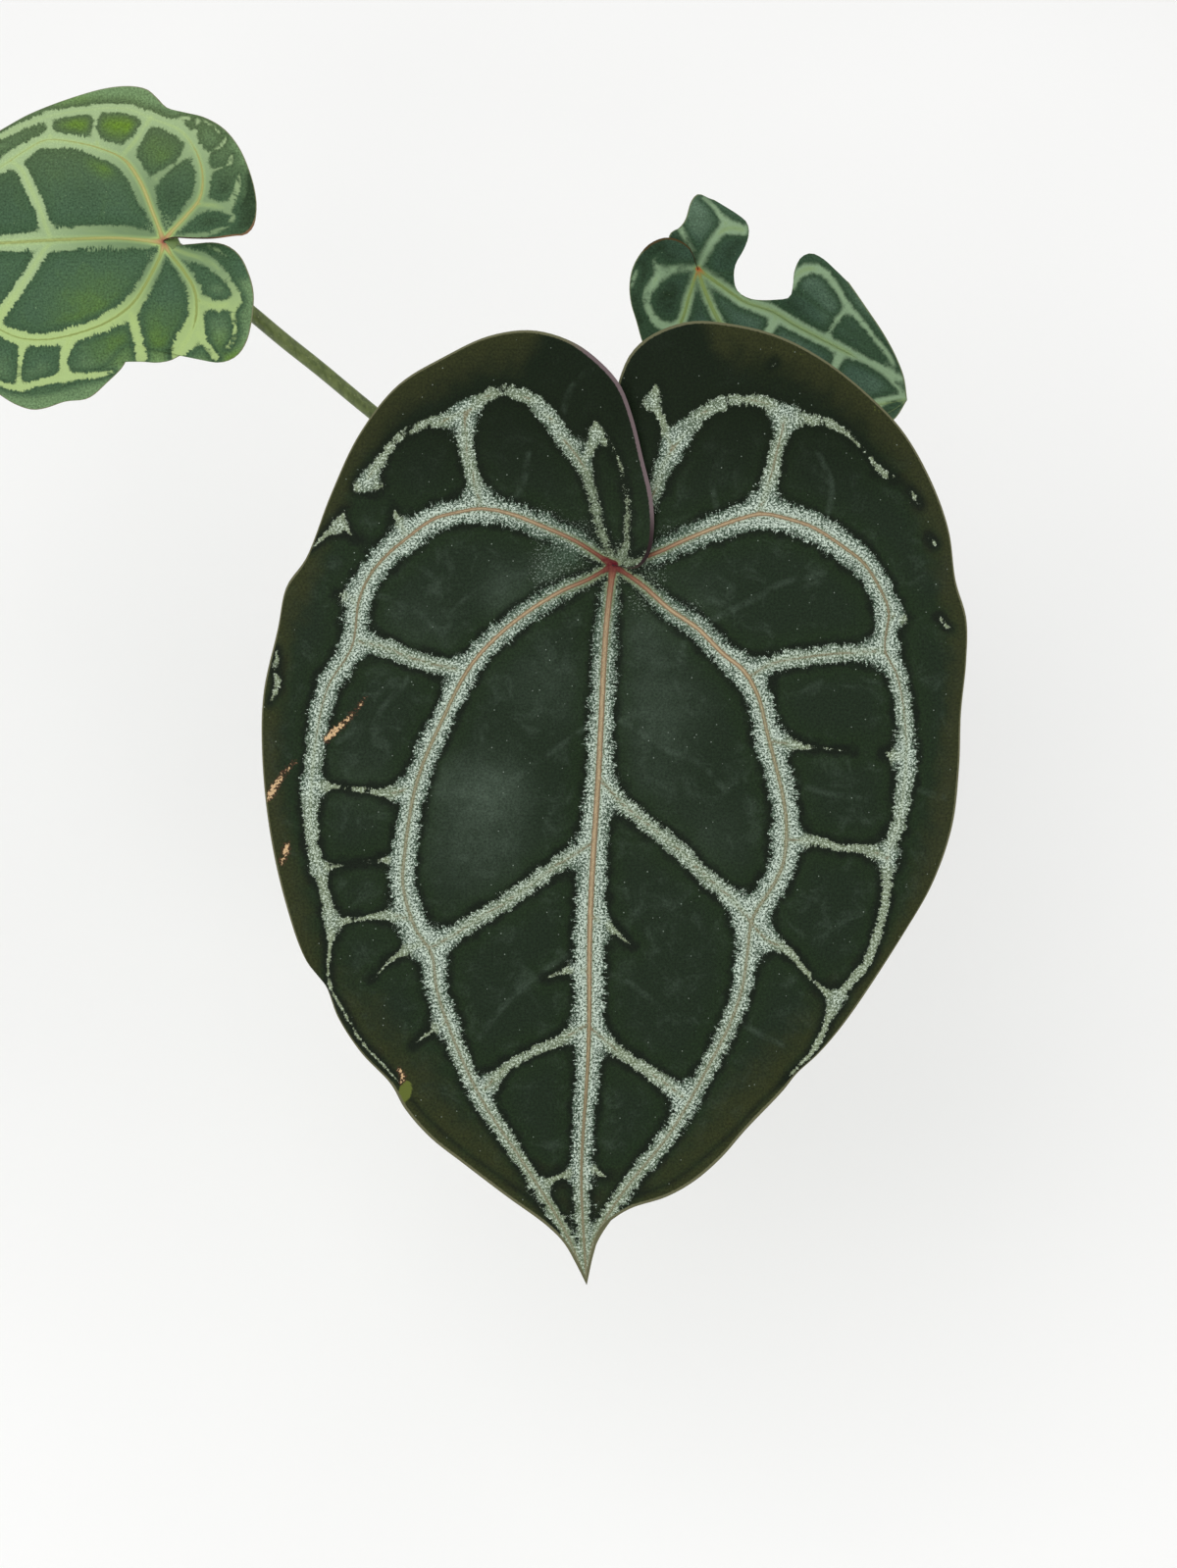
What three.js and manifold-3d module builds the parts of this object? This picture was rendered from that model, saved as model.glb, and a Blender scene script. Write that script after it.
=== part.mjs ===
// Potted anthurium hybrid: three heart-shaped leaves on long stalks, growing from a short stem
// that is rooted in a bark mix in a plain pot. Millimetres, +Z up. The origin is the middle of
// the pot's flat underside, and the plant faces -Y.
import * as THREE from "three";
import { mergeVertices } from "three/addons/utils/BufferGeometryUtils.js";
import Module from "manifold-3d";

const wasm = await Module();
wasm.setup();

// Driving dimensions
const GAP = 0.3;

const POT_HEIGHT = 118;
const POT_TOP_RADIUS = 65;
const POT_BASE_RADIUS = 46;
const POT_WALL = 2.2;
const POT_FLOOR = 2.6;
const POT_RIM_HEIGHT = 17;
const POT_RIM_STEP = 2.4;
const POT_SIDES = 40;
const DRAIN_COUNT = 6;
const DRAIN_RADIUS = 4;
const DRAIN_RING = 27;

const SOIL_TOP = 100;
const CHIP_COUNT = 42;
const CHIP_SEED = 41;

const STEM_FOOT = 66;
const STEM_TOP = 148;
const STEM_RADIUS = 9;
const SCAR_COUNT = 7;
const ROOT_SEED = 7;
const ROOT_COUNT = 6;

const STALK_FOOT_RADIUS = 3.6;
const STALK_RADIUS = 2.3;
const KNEE_RADIUS = 3.1;
const KNEE_LENGTH = 16;

const BLADE_THICKNESS = 0.9;
const FAN_END = 0.7;
const QUILT_HEIGHT = 2;
const CROSS_RIB = 0.5;

// The blades face up and forward at one tilt, and are laid out as seen from in front of them.
const FACING_TILT = THREE.MathUtils.degToRad(62);
const SIGHT_DISTANCE = 800;
const SIGHT_ACROSS = -7;
const SIGHT_UP = -62;
const ACROSS = new THREE.Vector3(1, 0, 0);
const UP = new THREE.Vector3(0, Math.sin(FACING_TILT), Math.cos(FACING_TILT));
const FACING = new THREE.Vector3(0, -Math.cos(FACING_TILT), Math.sin(FACING_TILT));
const MAIN_SEAT = new THREE.Vector3(20, -96, 315);

// Each blade's plan is in millimetres from its stalk's seat, x across and y up. Its main veins
// and its edges all run from the seat to the tip. seat is across, up and behind the main leaf's.
const MAIN_BLADE = {
  seat: [0, 0, 0],
  towardsTip: [-0.04, -1],
  reach: 204,
  lobe: 68,
  halfWidth: 100,
  lean: [0, 0],
  droop: 24,
  lobeDroop: 6,
  fold: 5,
  curl: 13,
  wave: 1.6,
  waves: 7,
  ribHeight: 2,
  crossVeins: 7,
  columns: [0, 0.1, 0.5, 0.9],
  midrib: [[0, 0], [-2, -18], [-4, -56], [-6.5, -99], [-7, -137], [-9, -173], [-7.5, -204]],
  left: {
    inner: [[0, 0], [-7, -4], [-15, -7.5], [-28, -16], [-40, -28], [-48, -43], [-55.5, -61], [-59, -81],
      [-59.5, -91], [-56, -103], [-51.5, -110], [-50, -120], [-46.5, -131], [-37.5, -151], [-25, -170],
      [-13, -190], [-7.5, -204]],
    outer: [[0, 0], [-11, 7], [-20, 11], [-29, 14.5], [-37, 16], [-44, 15], [-51, 13], [-58, 8], [-64, 3],
      [-69, -3], [-72, -10], [-74, -23], [-81, -35], [-85, -56], [-85.5, -76], [-83, -88], [-80, -101],
      [-80.5, -118], [-76, -127], [-72, -134], [-62, -145], [-54, -155], [-44, -164.5], [-29, -175.5],
      [-18, -184.5], [-12, -194], [-7.5, -204]],
    edge: [[0, 0], [6.5, -1], [10, 2.5], [11.5, 9.5], [11, 19.5], [8.5, 30], [5.5, 42], [2, 51], [-3, 57],
      [-11, 63], [-22.5, 66.5], [-35, 65], [-48, 59], [-61, 51], [-72, 37], [-80, 20], [-87, 2],
      [-92.5, -6], [-95, -18], [-99, -36], [-99.5, -52], [-97.5, -74], [-93, -95], [-87, -112],
      [-81.5, -119], [-78, -128], [-71.5, -138], [-63, -147], [-59, -154], [-52, -162], [-42.5, -169.5],
      [-30, -179], [-19, -187], [-14, -192], [-10.5, -198], [-7.5, -204]],
  },
  right: {
    inner: [[0, 0], [8, -5.5], [16, -12.5], [24, -18], [31, -25], [37, -30], [41, -37], [43.5, -47], [48.5, -68],
      [49, -77], [48, -85], [44.5, -92], [39.5, -100], [38, -110], [36.5, -120], [33, -130], [27, -142],
      [16, -161], [4, -176], [-2, -185], [-5.5, -193], [-7.5, -204]],
    outer: [[0, 0], [11, 3], [20, 7], [28.5, 10.5], [35.5, 13], [42, 14.5], [50, 13], [57, 10.5], [64, 6],
      [71, 0.5], [75.5, -6.5], [78, -13], [77, -24], [80.5, -31.5], [83, -51], [81, -72], [78, -81],
      [77.5, -91], [75.5, -102], [71.5, -113], [64, -122], [57, -137], [52, -142.5], [42, -152], [29, -165],
      [16, -175], [5, -179.5], [-0.5, -185.5], [-4.5, -193], [-7.5, -204]],
    edge: [[0, 0], [1, 5], [1.5, 13], [0.5, 24], [-0.5, 35], [0, 45], [2, 53.5], [5, 60], [10.5, 65],
      [21.5, 69], [35.5, 68], [48, 64.5], [60, 58], [72, 48.5], [82, 38], [90, 24], [95, 10], [97, -4.5],
      [100, -15], [100, -27], [98.5, -42], [98, -57], [96, -74], [90.5, -90], [82.5, -104], [66, -129],
      [58, -138.5], [52, -144], [48, -149], [37.5, -160], [30.5, -168], [23, -174.5], [15, -179],
      [5.5, -182], [1, -184.5], [-3, -188], [-5.5, -195], [-7.5, -204]],
  },
};

const LEFT_BLADE = {
  seat: [-137, 104, 64],
  towardsTip: [-1, 0],
  reach: 107,
  lobe: 29,
  halfWidth: 50,
  lean: [0.22, 0],
  droop: 14,
  lobeDroop: 3,
  fold: 3,
  curl: 6,
  wave: 1.4,
  waves: 4,
  ribHeight: 1.5,
  crossVeins: 5,
  columns: [0, 0.12, 0.56],
  midrib: [[0, 0], [-2, 0], [-14, 1], [-32, 0.5], [-50, -0.5], [-77, -1.5], [-107, -1]],
  left: {
    inner: [[0, 0], [-1, 3], [-3.5, 9.5], [-7, 18], [-12, 25], [-19.5, 28.5], [-28, 30.5], [-36, 31], [-42, 28],
      [-48, 24], [-62, 16], [-80, 7], [-95, 2], [-107, -1]],
    outer: [[0, 0], [2, 2.5], [7.5, 8.5], [11, 13], [12, 20], [10, 27.5], [5, 34], [-3.5, 37.5], [-11, 40.5],
      [-21, 40.5], [-36, 38], [-50, 32], [-66, 22], [-83, 10], [-96, 2.5], [-107, -1]],
    edge: [[0, 0], [2.5, 1], [9, 0.8], [15, 0.8], [22, 1.7], [25, 2], [27.5, 4.5], [28.5, 10], [28, 15.5],
      [26, 22.5], [23, 29], [18.5, 34.5], [12.5, 38], [6.5, 39.5], [1, 41], [-2, 44], [-5, 46.5],
      [-9.5, 47.5], [-17, 47], [-28, 44], [-41, 39], [-50, 34], [-67, 24.5], [-83, 12.5], [-96, 4],
      [-107, -1]],
  },
  right: {
    inner: [[0, 0], [-0.5, -3], [-3.5, -9.5], [-9.5, -19], [-17, -24.5], [-26, -28], [-36, -30], [-44, -29.5],
      [-50, -27], [-64, -20], [-80, -11.5], [-95, -4.5], [-107, -1]],
    outer: [[0, 0], [1.5, -3], [6.5, -9.5], [9.5, -15], [10, -22.5], [8, -28.5], [3, -32.5], [-4, -33],
      [-11, -31.5], [-18, -38], [-29, -44], [-40, -46.5], [-50, -42.5], [-65, -32], [-80, -19], [-93, -7.5],
      [-107, -1]],
    edge: [[0, 0], [3.5, -1], [9, -0.7], [15.5, -0.3], [20, -1.5], [23.5, -4.5], [26, -9.5], [27.5, -15],
      [27.5, -20.5], [25.5, -30.5], [22.5, -35], [18, -37], [13.5, -36.5], [8, -33.5], [5, -35],
      [2, -36.5], [-3, -37], [-6.5, -35.5], [-10, -34.5], [-12.5, -38.5], [-17, -43], [-23, -48], [-30, -49],
      [-36, -51], [-40, -51.5], [-45, -50], [-50, -47], [-65, -35.5], [-80, -22], [-92, -10], [-107, -1]],
  },
};

const BACK_BLADE = {
  seat: [26.5, 95.5, 64],
  towardsTip: [0.85, -0.53],
  reach: 75,
  lobe: 23,
  halfWidth: 34,
  lean: [-0.2, 0.12],
  droop: 16,
  lobeDroop: 3,
  fold: 2,
  curl: 4,
  wave: 1,
  waves: 3,
  ribHeight: 1.3,
  crossVeins: 5,
  columns: [0, 0.12, 0.56],
  midrib: [[0, 0], [7, -5], [14.5, -10], [23, -13], [29.5, -17], [38, -21.5], [47.5, -26.5], [57, -32], [64, -40]],
  left: {
    inner: [[0, 0], [1, -3.5], [3.5, -10], [6.5, -16], [11.5, -23], [20.5, -33], [31, -39], [42, -41.5],
      [54, -41.5], [64, -40]],
    outer: [[0, 0], [-1, -3], [-2.5, -7.5], [-4, -13], [-5.5, -18], [-4, -28], [4, -38], [18, -46.5], [34, -50.5],
      [49, -48], [59, -43.5], [64, -40]],
    edge: [[0, 0], [-1, 3], [-2.5, 6.5], [-6, 9], [-10, 9.7], [-14.5, 8], [-17.5, 5], [-20, 0.5], [-21, -5],
      [-20.5, -10.5], [-19, -15.5], [-17, -22.5], [-13, -33], [-5, -43.5], [7, -52], [22, -56.5], [37, -56],
      [50, -52], [60, -46], [64, -40]],
  },
  right: {
    inner: [[0, 0], [5, -1], [16, -2], [27, -5], [38, -12], [48, -20], [56, -27], [61, -34], [64, -40]],
    outer: [[0, 0], [0.5, 1.5], [3.5, 7], [6.5, 11.5], [10.5, 13.5], [14.5, 13], [23.5, 11], [34, 4], [40, -2],
      [46, -11.5], [51, -17], [55.5, -22.5], [59.5, -27.5], [62, -33], [64, -40]],
    edge: [[0, 0], [-2.5, 3], [-6.5, 6], [-9, 9.5], [-8, 11.5], [-6, 12.5], [-4, 15], [-2, 21], [0, 23],
      [4, 21.5], [14.5, 18.5], [26.5, 13.5], [37, 7.5], [45, -2.5], [51, -11], [57, -20], [60.5, -26.5],
      [63, -33], [64, -40]],
  },
};

// What was bitten out of the back leaf, in the same plan.
const BITE = [[15, 11], [14, 6.5], [11.5, 2], [11, -2.5], [12, -6.5], [16, -9], [24, -9.3], [28, -8.5], [29, -5],
  [29.5, -0.5], [32, 3.5], [35, 4.5], [38, 3.5], [43, 8], [38, 22], [18, 26]];
const BITE_DEPTH = 60;

// Materials
const finish = (color, roughness) => new THREE.MeshStandardMaterial({ color, roughness, metalness: 0 });
const potPlastic = finish(0xe9e6df, 0.55);
const barkMix = finish(0x5a4028, 0.95);
const stemSkin = finish(0x6b6a45, 0.8);
const stalkSkin = finish(0x5d6b3a, 0.55);
const velvetGreen = finish(0x24331f, 0.7);
const freshGreen = finish(0x486636, 0.65);
const backGreen = finish(0x3c5737, 0.65);
const paperySheath = finish(0x8a6a45, 0.9);

// A repeatable random number from 0 to 1.
function randomFrom(seed) {
  let state = seed;
  return () => {
    state = (state * 1664525 + 1013904223) % 4294967296;
    return state / 4294967296;
  };
}

function smooth(from, to, value) {
  return THREE.MathUtils.smoothstep(value, from, to);
}

// Shares the vertices at each place, drops the triangles that have no width, and turns the faces out.
function weld(geometry) {
  geometry.deleteAttribute("normal");
  geometry.deleteAttribute("uv");
  const shared = mergeVertices(geometry, 1e-4);
  const index = shared.index.array;
  const place = shared.attributes.position;
  const corners = [new THREE.Vector3(), new THREE.Vector3(), new THREE.Vector3()];
  const kept = [];
  let volume = 0;
  for (let i = 0; i < index.length; i += 3) {
    const [a, b, c] = [index[i], index[i + 1], index[i + 2]];
    if (a === b || b === c || c === a) continue;
    corners.forEach((corner, k) => corner.fromBufferAttribute(place, index[i + k]));
    volume += corners[0].dot(corners[1].clone().cross(corners[2]));
    kept.push(a, b, c);
  }
  if (volume < 0) kept.reverse();
  shared.setIndex(kept);
  return shared;
}

function toSolid(geometry) {
  const welded = weld(geometry);
  return new wasm.Manifold(new wasm.Mesh({
    numProp: 3,
    vertProperties: new Float32Array(welded.attributes.position.array),
    triVerts: new Uint32Array(welded.index.array),
  }));
}

function toGeometry(solid) {
  const { vertProperties, triVerts } = solid.getMesh();
  const geometry = new THREE.BufferGeometry();
  geometry.setAttribute("position", new THREE.BufferAttribute(vertProperties, 3));
  geometry.setIndex(new THREE.BufferAttribute(triVerts, 1));
  return geometry;
}

function namedMesh(name, geometry, material) {
  const mesh = new THREE.Mesh(geometry, material);
  mesh.geometry.computeVertexNormals();
  mesh.name = name;
  return mesh;
}

// A round stalk whose radius follows radiusAt from foot to head, turned straight and then bent
// along the curve. extra fattens it to cut the hole that it stands in.
function bentStalk(curve, radiusAt, steps, sides, extra = 0) {
  const profile = [new THREE.Vector2(0, 0)];
  for (let i = 0; i <= steps; i += 1) profile.push(new THREE.Vector2(radiusAt(i / steps) + extra, i));
  profile.push(new THREE.Vector2(0, steps));
  const turned = new THREE.LatheGeometry(profile, sides);
  const frames = curve.computeFrenetFrames(steps, false);
  const place = turned.attributes.position;
  const point = new THREE.Vector3();
  for (let i = 0; i < place.count; i += 1) {
    const step = Math.round(place.getY(i));
    curve.getPointAt(step / steps, point);
    point.addScaledVector(frames.normals[step], place.getX(i));
    point.addScaledVector(frames.binormals[step], place.getZ(i));
    place.setXYZ(i, point.x, point.y, point.z);
  }
  return toSolid(turned);
}

// A thin solid between two grids of points that are split into triangles alike.
function thinSolid(rows, columns, upperAt, lowerAt) {
  const points = [];
  const index = [];
  for (const pointAt of [upperAt, lowerAt]) {
    for (let i = 0; i <= rows; i += 1) {
      for (let j = 0; j <= columns; j += 1) points.push(pointAt(i, j));
    }
  }
  const width = columns + 1;
  const under = (rows + 1) * width;
  for (let i = 0; i < rows; i += 1) {
    for (let j = 0; j < columns; j += 1) {
      const [a, b, c, d] = [i * width + j, i * width + j + 1, (i + 1) * width + j + 1, (i + 1) * width + j];
      index.push(a, b, c, a, c, d);
      index.push(under + a, under + c, under + b, under + a, under + d, under + c);
    }
  }
  const rim = [];
  for (let j = 0; j < columns; j += 1) rim.push([j, j + 1]);
  for (let i = 0; i < rows; i += 1) rim.push([i * width + columns, (i + 1) * width + columns]);
  for (let j = columns; j > 0; j -= 1) rim.push([rows * width + j, rows * width + j - 1]);
  for (let i = rows; i > 0; i -= 1) rim.push([i * width, (i - 1) * width]);
  for (const [a, b] of rim) index.push(a, under + a, under + b, a, under + b, b);
  const geometry = new THREE.BufferGeometry().setFromPoints(points);
  geometry.setIndex(index);
  return toSolid(geometry);
}

function flatCurve(points) {
  return new THREE.CatmullRomCurve3(points.map(([x, y]) => new THREE.Vector3(x, y, 0)), false, "centripetal");
}

// The point of a vein or edge at station t. All of them keep pace with the midrib near the tip,
// and their spare length is used up round the seat, so the lines from one to the next fan out.
function stationOn(curve, t, midribLength) {
  const spare = curve.getLength() - midribLength;
  const lag = t < FAN_END ? (1 - t / FAN_END) ** 2 : 0;
  return curve.getPointAt(Math.min(1, (midribLength * t + spare * (1 - lag)) / curve.getLength()));
}

function seatOf(blade) {
  return MAIN_SEAT.clone()
    .addScaledVector(ACROSS, blade.seat[0])
    .addScaledVector(UP, blade.seat[1])
    .addScaledVector(FACING, -blade.seat[2]);
}

// A point of the plan, raised towards the viewer along the line of sight.
function raised(blade, x, y, rise) {
  const eye = MAIN_SEAT.clone()
    .addScaledVector(ACROSS, SIGHT_ACROSS)
    .addScaledVector(UP, SIGHT_UP)
    .addScaledVector(FACING, SIGHT_DISTANCE);
  const depth = SIGHT_DISTANCE + blade.seat[2];
  const flat = seatOf(blade).addScaledVector(ACROSS, x).addScaledVector(UP, y);
  return eye.lerp(flat, 1 - rise / depth);
}

// How far the blade stands out of its plan: it leans, droops to the tip and over the lobes,
// rises from the midrib in a shallow valley and curls back at its sides.
function bend(blade, x, y) {
  const [tipX, tipY] = blade.towardsTip;
  const along = x * tipX + y * tipY;
  const aside = Math.abs(x * tipY - y * tipX);
  return blade.lean[0] * x + blade.lean[1] * y
    - blade.droop * (Math.max(0, along) / blade.reach) ** 2
    - blade.lobeDroop * (Math.max(0, -along) / blade.lobe) ** 2
    + blade.fold * (1 - Math.exp((-4 * aside) / blade.halfWidth))
    - blade.curl * (aside / blade.halfWidth) ** 3;
}

// Where the two lobes meet behind the seat, the left one lies over the right one.
function lapLift(blade, isLeft, x, y, outward) {
  const behind = -(x * blade.towardsTip[0] + y * blade.towardsTip[1]);
  const sideways = x * blade.towardsTip[1] - y * blade.towardsTip[0];
  const near = isLeft ? smooth(-0.18, 0, -sideways / blade.halfWidth) : smooth(-0.18, 0, sideways / blade.halfWidth);
  const fromSeat = 1 - Math.exp(-Math.hypot(x, y) / 5);
  const height = isLeft ? 3.2 : -2;
  return height * near * outward * fromSeat * smooth(-6, 8, behind);
}

// One half of a blade, quilted between its veins, with the veins raised on its underside.
function bladeHalf(blade, isLeft) {
  const half = isLeft ? blade.left : blade.right;
  const guides = [blade.midrib, half.inner, half.outer, half.edge].map(flatCurve);
  const strips = guides.length - 1;
  const rows = blade.crossVeins * 4;
  const columns = strips * blade.columns.length;
  const midribLength = guides[0].getLength();
  const surface = (i, j) => {
    const t = i / rows;
    const strip = Math.min(strips - 1, Math.floor(j / blade.columns.length));
    const u = j === columns ? 1 : blade.columns[j % blade.columns.length];
    const from = stationOn(guides[strip], t, midribLength);
    const to = stationOn(guides[strip + 1], t, midribLength);
    const width = from.distanceTo(to);
    const { x, y } = from.lerp(to, u);
    const outward = (strip + u) / strips;
    const cell = Math.abs(Math.sin(Math.PI * blade.crossVeins * t));
    const bulge = QUILT_HEIGHT * Math.sin(Math.PI * u) * (0.5 + 0.5 * cell) * Math.min(1, width / 28);
    const wave = blade.wave * outward ** 4 * Math.sin(2 * Math.PI * blade.waves * t) * Math.sin(Math.PI * t);
    const rise = bend(blade, x, y) + bulge + wave + lapLift(blade, isLeft, x, y, outward ** 2);
    const taper = Math.sin(Math.PI * Math.min(1, t + 0.04)) ** 0.5 * (1.15 - t);
    const main = u === 0 ? blade.ribHeight * taper * (1 - 0.25 * strip) : 0;
    const cross = cell < 0.01 && u > 0 && j < columns ? CROSS_RIB : 0;
    const rib = i === 0 || i === rows ? 0 : Math.max(main, cross);
    return { x, y, rise, rib };
  };
  const upperAt = (i, j) => {
    const { x, y, rise } = surface(i, j);
    return raised(blade, x, y, rise);
  };
  const lowerAt = (i, j) => {
    const { x, y, rise, rib } = surface(i, j);
    return raised(blade, x, y, rise).addScaledVector(FACING, -BLADE_THICKNESS - rib);
  };
  return thinSolid(rows, columns, upperAt, lowerAt);
}

// The swollen pad under the blade that the stalk's knee meets.
const PAD_RADIUS = 4.6;
const PAD_DEPTH = 4;
const PAD_SINK = 0.5;
const PAD_STEPS = 3;
const PAD_SIDES = 12;

function undersideOf(blade) {
  return seatOf(blade).addScaledVector(FACING, -BLADE_THICKNESS);
}

function padUnder(blade, stalk) {
  const away = stalk.getTangentAt(1).negate();
  const top = undersideOf(blade).addScaledVector(away, -PAD_SINK);
  const foot = undersideOf(blade).addScaledVector(away, PAD_DEPTH);
  const radiusAt = (t) => PAD_RADIUS - (PAD_RADIUS - KNEE_RADIUS) * t;
  return bentStalk(new THREE.LineCurve3(top, foot), radiusAt, PAD_STEPS, PAD_SIDES);
}

function makeBlade(blade, stalk) {
  return bladeHalf(blade, true).add(bladeHalf(blade, false)).add(padUnder(blade, stalk));
}

// The stalks rise from sockets round the stem's top and end, in a swollen knee, just under the blades.
function stalkTo(blade, places) {
  const path = places.map((place) => new THREE.Vector3(...place));
  const underside = undersideOf(blade);
  const arrival = underside.clone().sub(path[path.length - 1]).normalize();
  const head = underside.addScaledVector(arrival, -PAD_DEPTH - GAP);
  const neck = head.clone().addScaledVector(arrival, -KNEE_LENGTH);
  return new THREE.CatmullRomCurve3([...path, neck, head], false, "centripetal");
}

function stalkRadius(t) {
  const foot = (STALK_FOOT_RADIUS - STALK_RADIUS) * (1 - smooth(0, 0.22, t));
  const knee = (KNEE_RADIUS - STALK_RADIUS) * smooth(0.9, 0.95, t);
  return STALK_RADIUS + foot + knee;
}

const STALK_STEPS = 20;
const STALK_SIDES = 8;

const mainStalk = stalkTo(MAIN_BLADE, [[1.5, -6.5, 134], [4, -16, 170], [9, -40, 224], [16, -74, 280]]);
const leftStalk = stalkTo(LEFT_BLADE, [[-6.5, 3, 128], [-16, 6, 165], [-45, 13, 215], [-88, 20, 272]]);
const backStalk = stalkTo(BACK_BLADE, [[6, 4.5, 131], [12, 7, 170], [24, 11, 222], [38, 15, 274]]);

function makeStalk(curve, extra = 0) {
  return bentStalk(curve, stalkRadius, STALK_STEPS, STALK_SIDES, extra);
}

// The short stem, ringed by old leaf scars, and its thick roots.
const stemLine = new THREE.CatmullRomCurve3([
  new THREE.Vector3(-2, 3, STEM_FOOT),
  new THREE.Vector3(-1, 1.5, 100),
  new THREE.Vector3(0, 0.5, 125),
  new THREE.Vector3(0, 0, STEM_TOP),
]);

function stemRadius(t) {
  const scars = 0.7 * Math.abs(Math.sin(Math.PI * SCAR_COUNT * t)) ** 0.5;
  return (STEM_RADIUS - 1.2 + scars) * (1 - 0.55 * smooth(0.86, 1, t)) * (0.7 + 0.3 * smooth(0, 0.15, t));
}

function rootLines() {
  const random = randomFrom(ROOT_SEED);
  const lines = [];
  for (let i = 0; i < ROOT_COUNT; i += 1) {
    const angle = (2 * Math.PI * (i + 0.6 * random())) / ROOT_COUNT + 0.5;
    const out = new THREE.Vector3(Math.cos(angle), Math.sin(angle), 0);
    const start = 104 + 6 * random();
    const reach = 20 + 14 * random();
    const swing = new THREE.Vector3(-out.y, out.x, 0).multiplyScalar(6 * (random() - 0.5));
    const at = (distance, height, turn) => out.clone().multiplyScalar(distance)
      .addScaledVector(swing, turn).setZ(height);
    lines.push(new THREE.CatmullRomCurve3([
      at(3, start + 1, 0),
      at(11, start, 0.2),
      at(reach * 0.75, start - 1, 0.7),
      at(reach, 97, 1),
      at(reach + 2, 84, 1.1),
    ]));
  }
  return lines;
}

function rootRadius(t) {
  return 2.5 - 0.9 * t;
}

const roots = rootLines();

function stemBody(extra = 0) {
  let body = bentStalk(stemLine, stemRadius, 28, 12, extra);
  for (const line of roots) body = body.add(bentStalk(line, rootRadius, 8, 6, extra));
  return body;
}

function makeStem() {
  let stem = stemBody();
  for (const curve of [mainStalk, leftStalk, backStalk]) stem = stem.subtract(makeStalk(curve, GAP));
  return stem;
}

// Dry papery sheaths that stand round the stem, each a pointed trough.
const SHEATHS = [
  { name: "sheath_right", angle: -20, foot: 116, height: 42, lean: 6 },
  { name: "sheath_left", angle: 219, foot: 113, height: 36, lean: 7 },
  { name: "sheath_back", angle: 96, foot: 118, height: 46, lean: 5 },
];
const SHEATH_RADIUS = STEM_RADIUS - 0.5 + GAP;
const SHEATH_THICKNESS = 0.8;
const SHEATH_SPREAD = THREE.MathUtils.degToRad(32);
const SHEATH_ROWS = 9;
const SHEATH_COLUMNS = 6;

function makeSheath({ angle, foot, height, lean }) {
  const middle = THREE.MathUtils.degToRad(angle);
  const at = (i, j, radius) => {
    const t = i / SHEATH_ROWS;
    const across = (2 * j) / SHEATH_COLUMNS - 1;
    const spread = SHEATH_SPREAD * Math.sqrt(Math.max(0, 1 - t ** 2.2)) * across;
    const out = radius + lean * t ** 1.6;
    const z = foot + height * t;
    const centre = stemLine.getPointAt(Math.min(1, (z - STEM_FOOT) / (STEM_TOP - STEM_FOOT)));
    return new THREE.Vector3(
      centre.x + out * Math.cos(middle + spread),
      centre.y + out * Math.sin(middle + spread),
      z,
    );
  };
  return thinSolid(
    SHEATH_ROWS,
    SHEATH_COLUMNS,
    (i, j) => at(i, j, SHEATH_RADIUS + SHEATH_THICKNESS),
    (i, j) => at(i, j, SHEATH_RADIUS),
  );
}

// The pot, turned in one piece with a stepped rim, and drain holes in its floor.
function potOuter(z) {
  return POT_BASE_RADIUS + ((POT_TOP_RADIUS - POT_RIM_STEP - POT_BASE_RADIUS) * z) / POT_HEIGHT;
}

function makePot() {
  const rimFoot = POT_HEIGHT - POT_RIM_HEIGHT;
  const profile = [
    [0, 0],
    [POT_BASE_RADIUS - 2, 0],
    [POT_BASE_RADIUS, 2],
    [potOuter(rimFoot - 1), rimFoot - 1],
    [POT_TOP_RADIUS - 1.2, rimFoot],
    [POT_TOP_RADIUS - 0.4, rimFoot + 1],
    [POT_TOP_RADIUS, POT_HEIGHT - 1.2],
    [POT_TOP_RADIUS - 0.7, POT_HEIGHT],
    [POT_TOP_RADIUS - POT_WALL, POT_HEIGHT],
    [POT_TOP_RADIUS - POT_WALL - 0.6, POT_HEIGHT - 1],
    [POT_TOP_RADIUS - POT_WALL - 1.2, rimFoot + 2],
    [potOuter(rimFoot) - POT_WALL, rimFoot],
    [potOuter(POT_FLOOR) - POT_WALL, POT_FLOOR + 1.5],
    [potOuter(POT_FLOOR) - POT_WALL - 1.5, POT_FLOOR],
    [0, POT_FLOOR],
  ].map(([x, y]) => new THREE.Vector2(x, y));
  let pot = toSolid(new THREE.LatheGeometry(profile, POT_SIDES).rotateX(Math.PI / 2));
  for (let i = 0; i < DRAIN_COUNT; i += 1) {
    const angle = (2 * Math.PI * i) / DRAIN_COUNT;
    const hole = new THREE.CylinderGeometry(DRAIN_RADIUS, DRAIN_RADIUS, 4 * POT_FLOOR, 12)
      .rotateX(Math.PI / 2)
      .translate(DRAIN_RING * Math.cos(angle), DRAIN_RING * Math.sin(angle), 0);
    pot = pot.subtract(toSolid(hole));
  }
  return pot;
}

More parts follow.
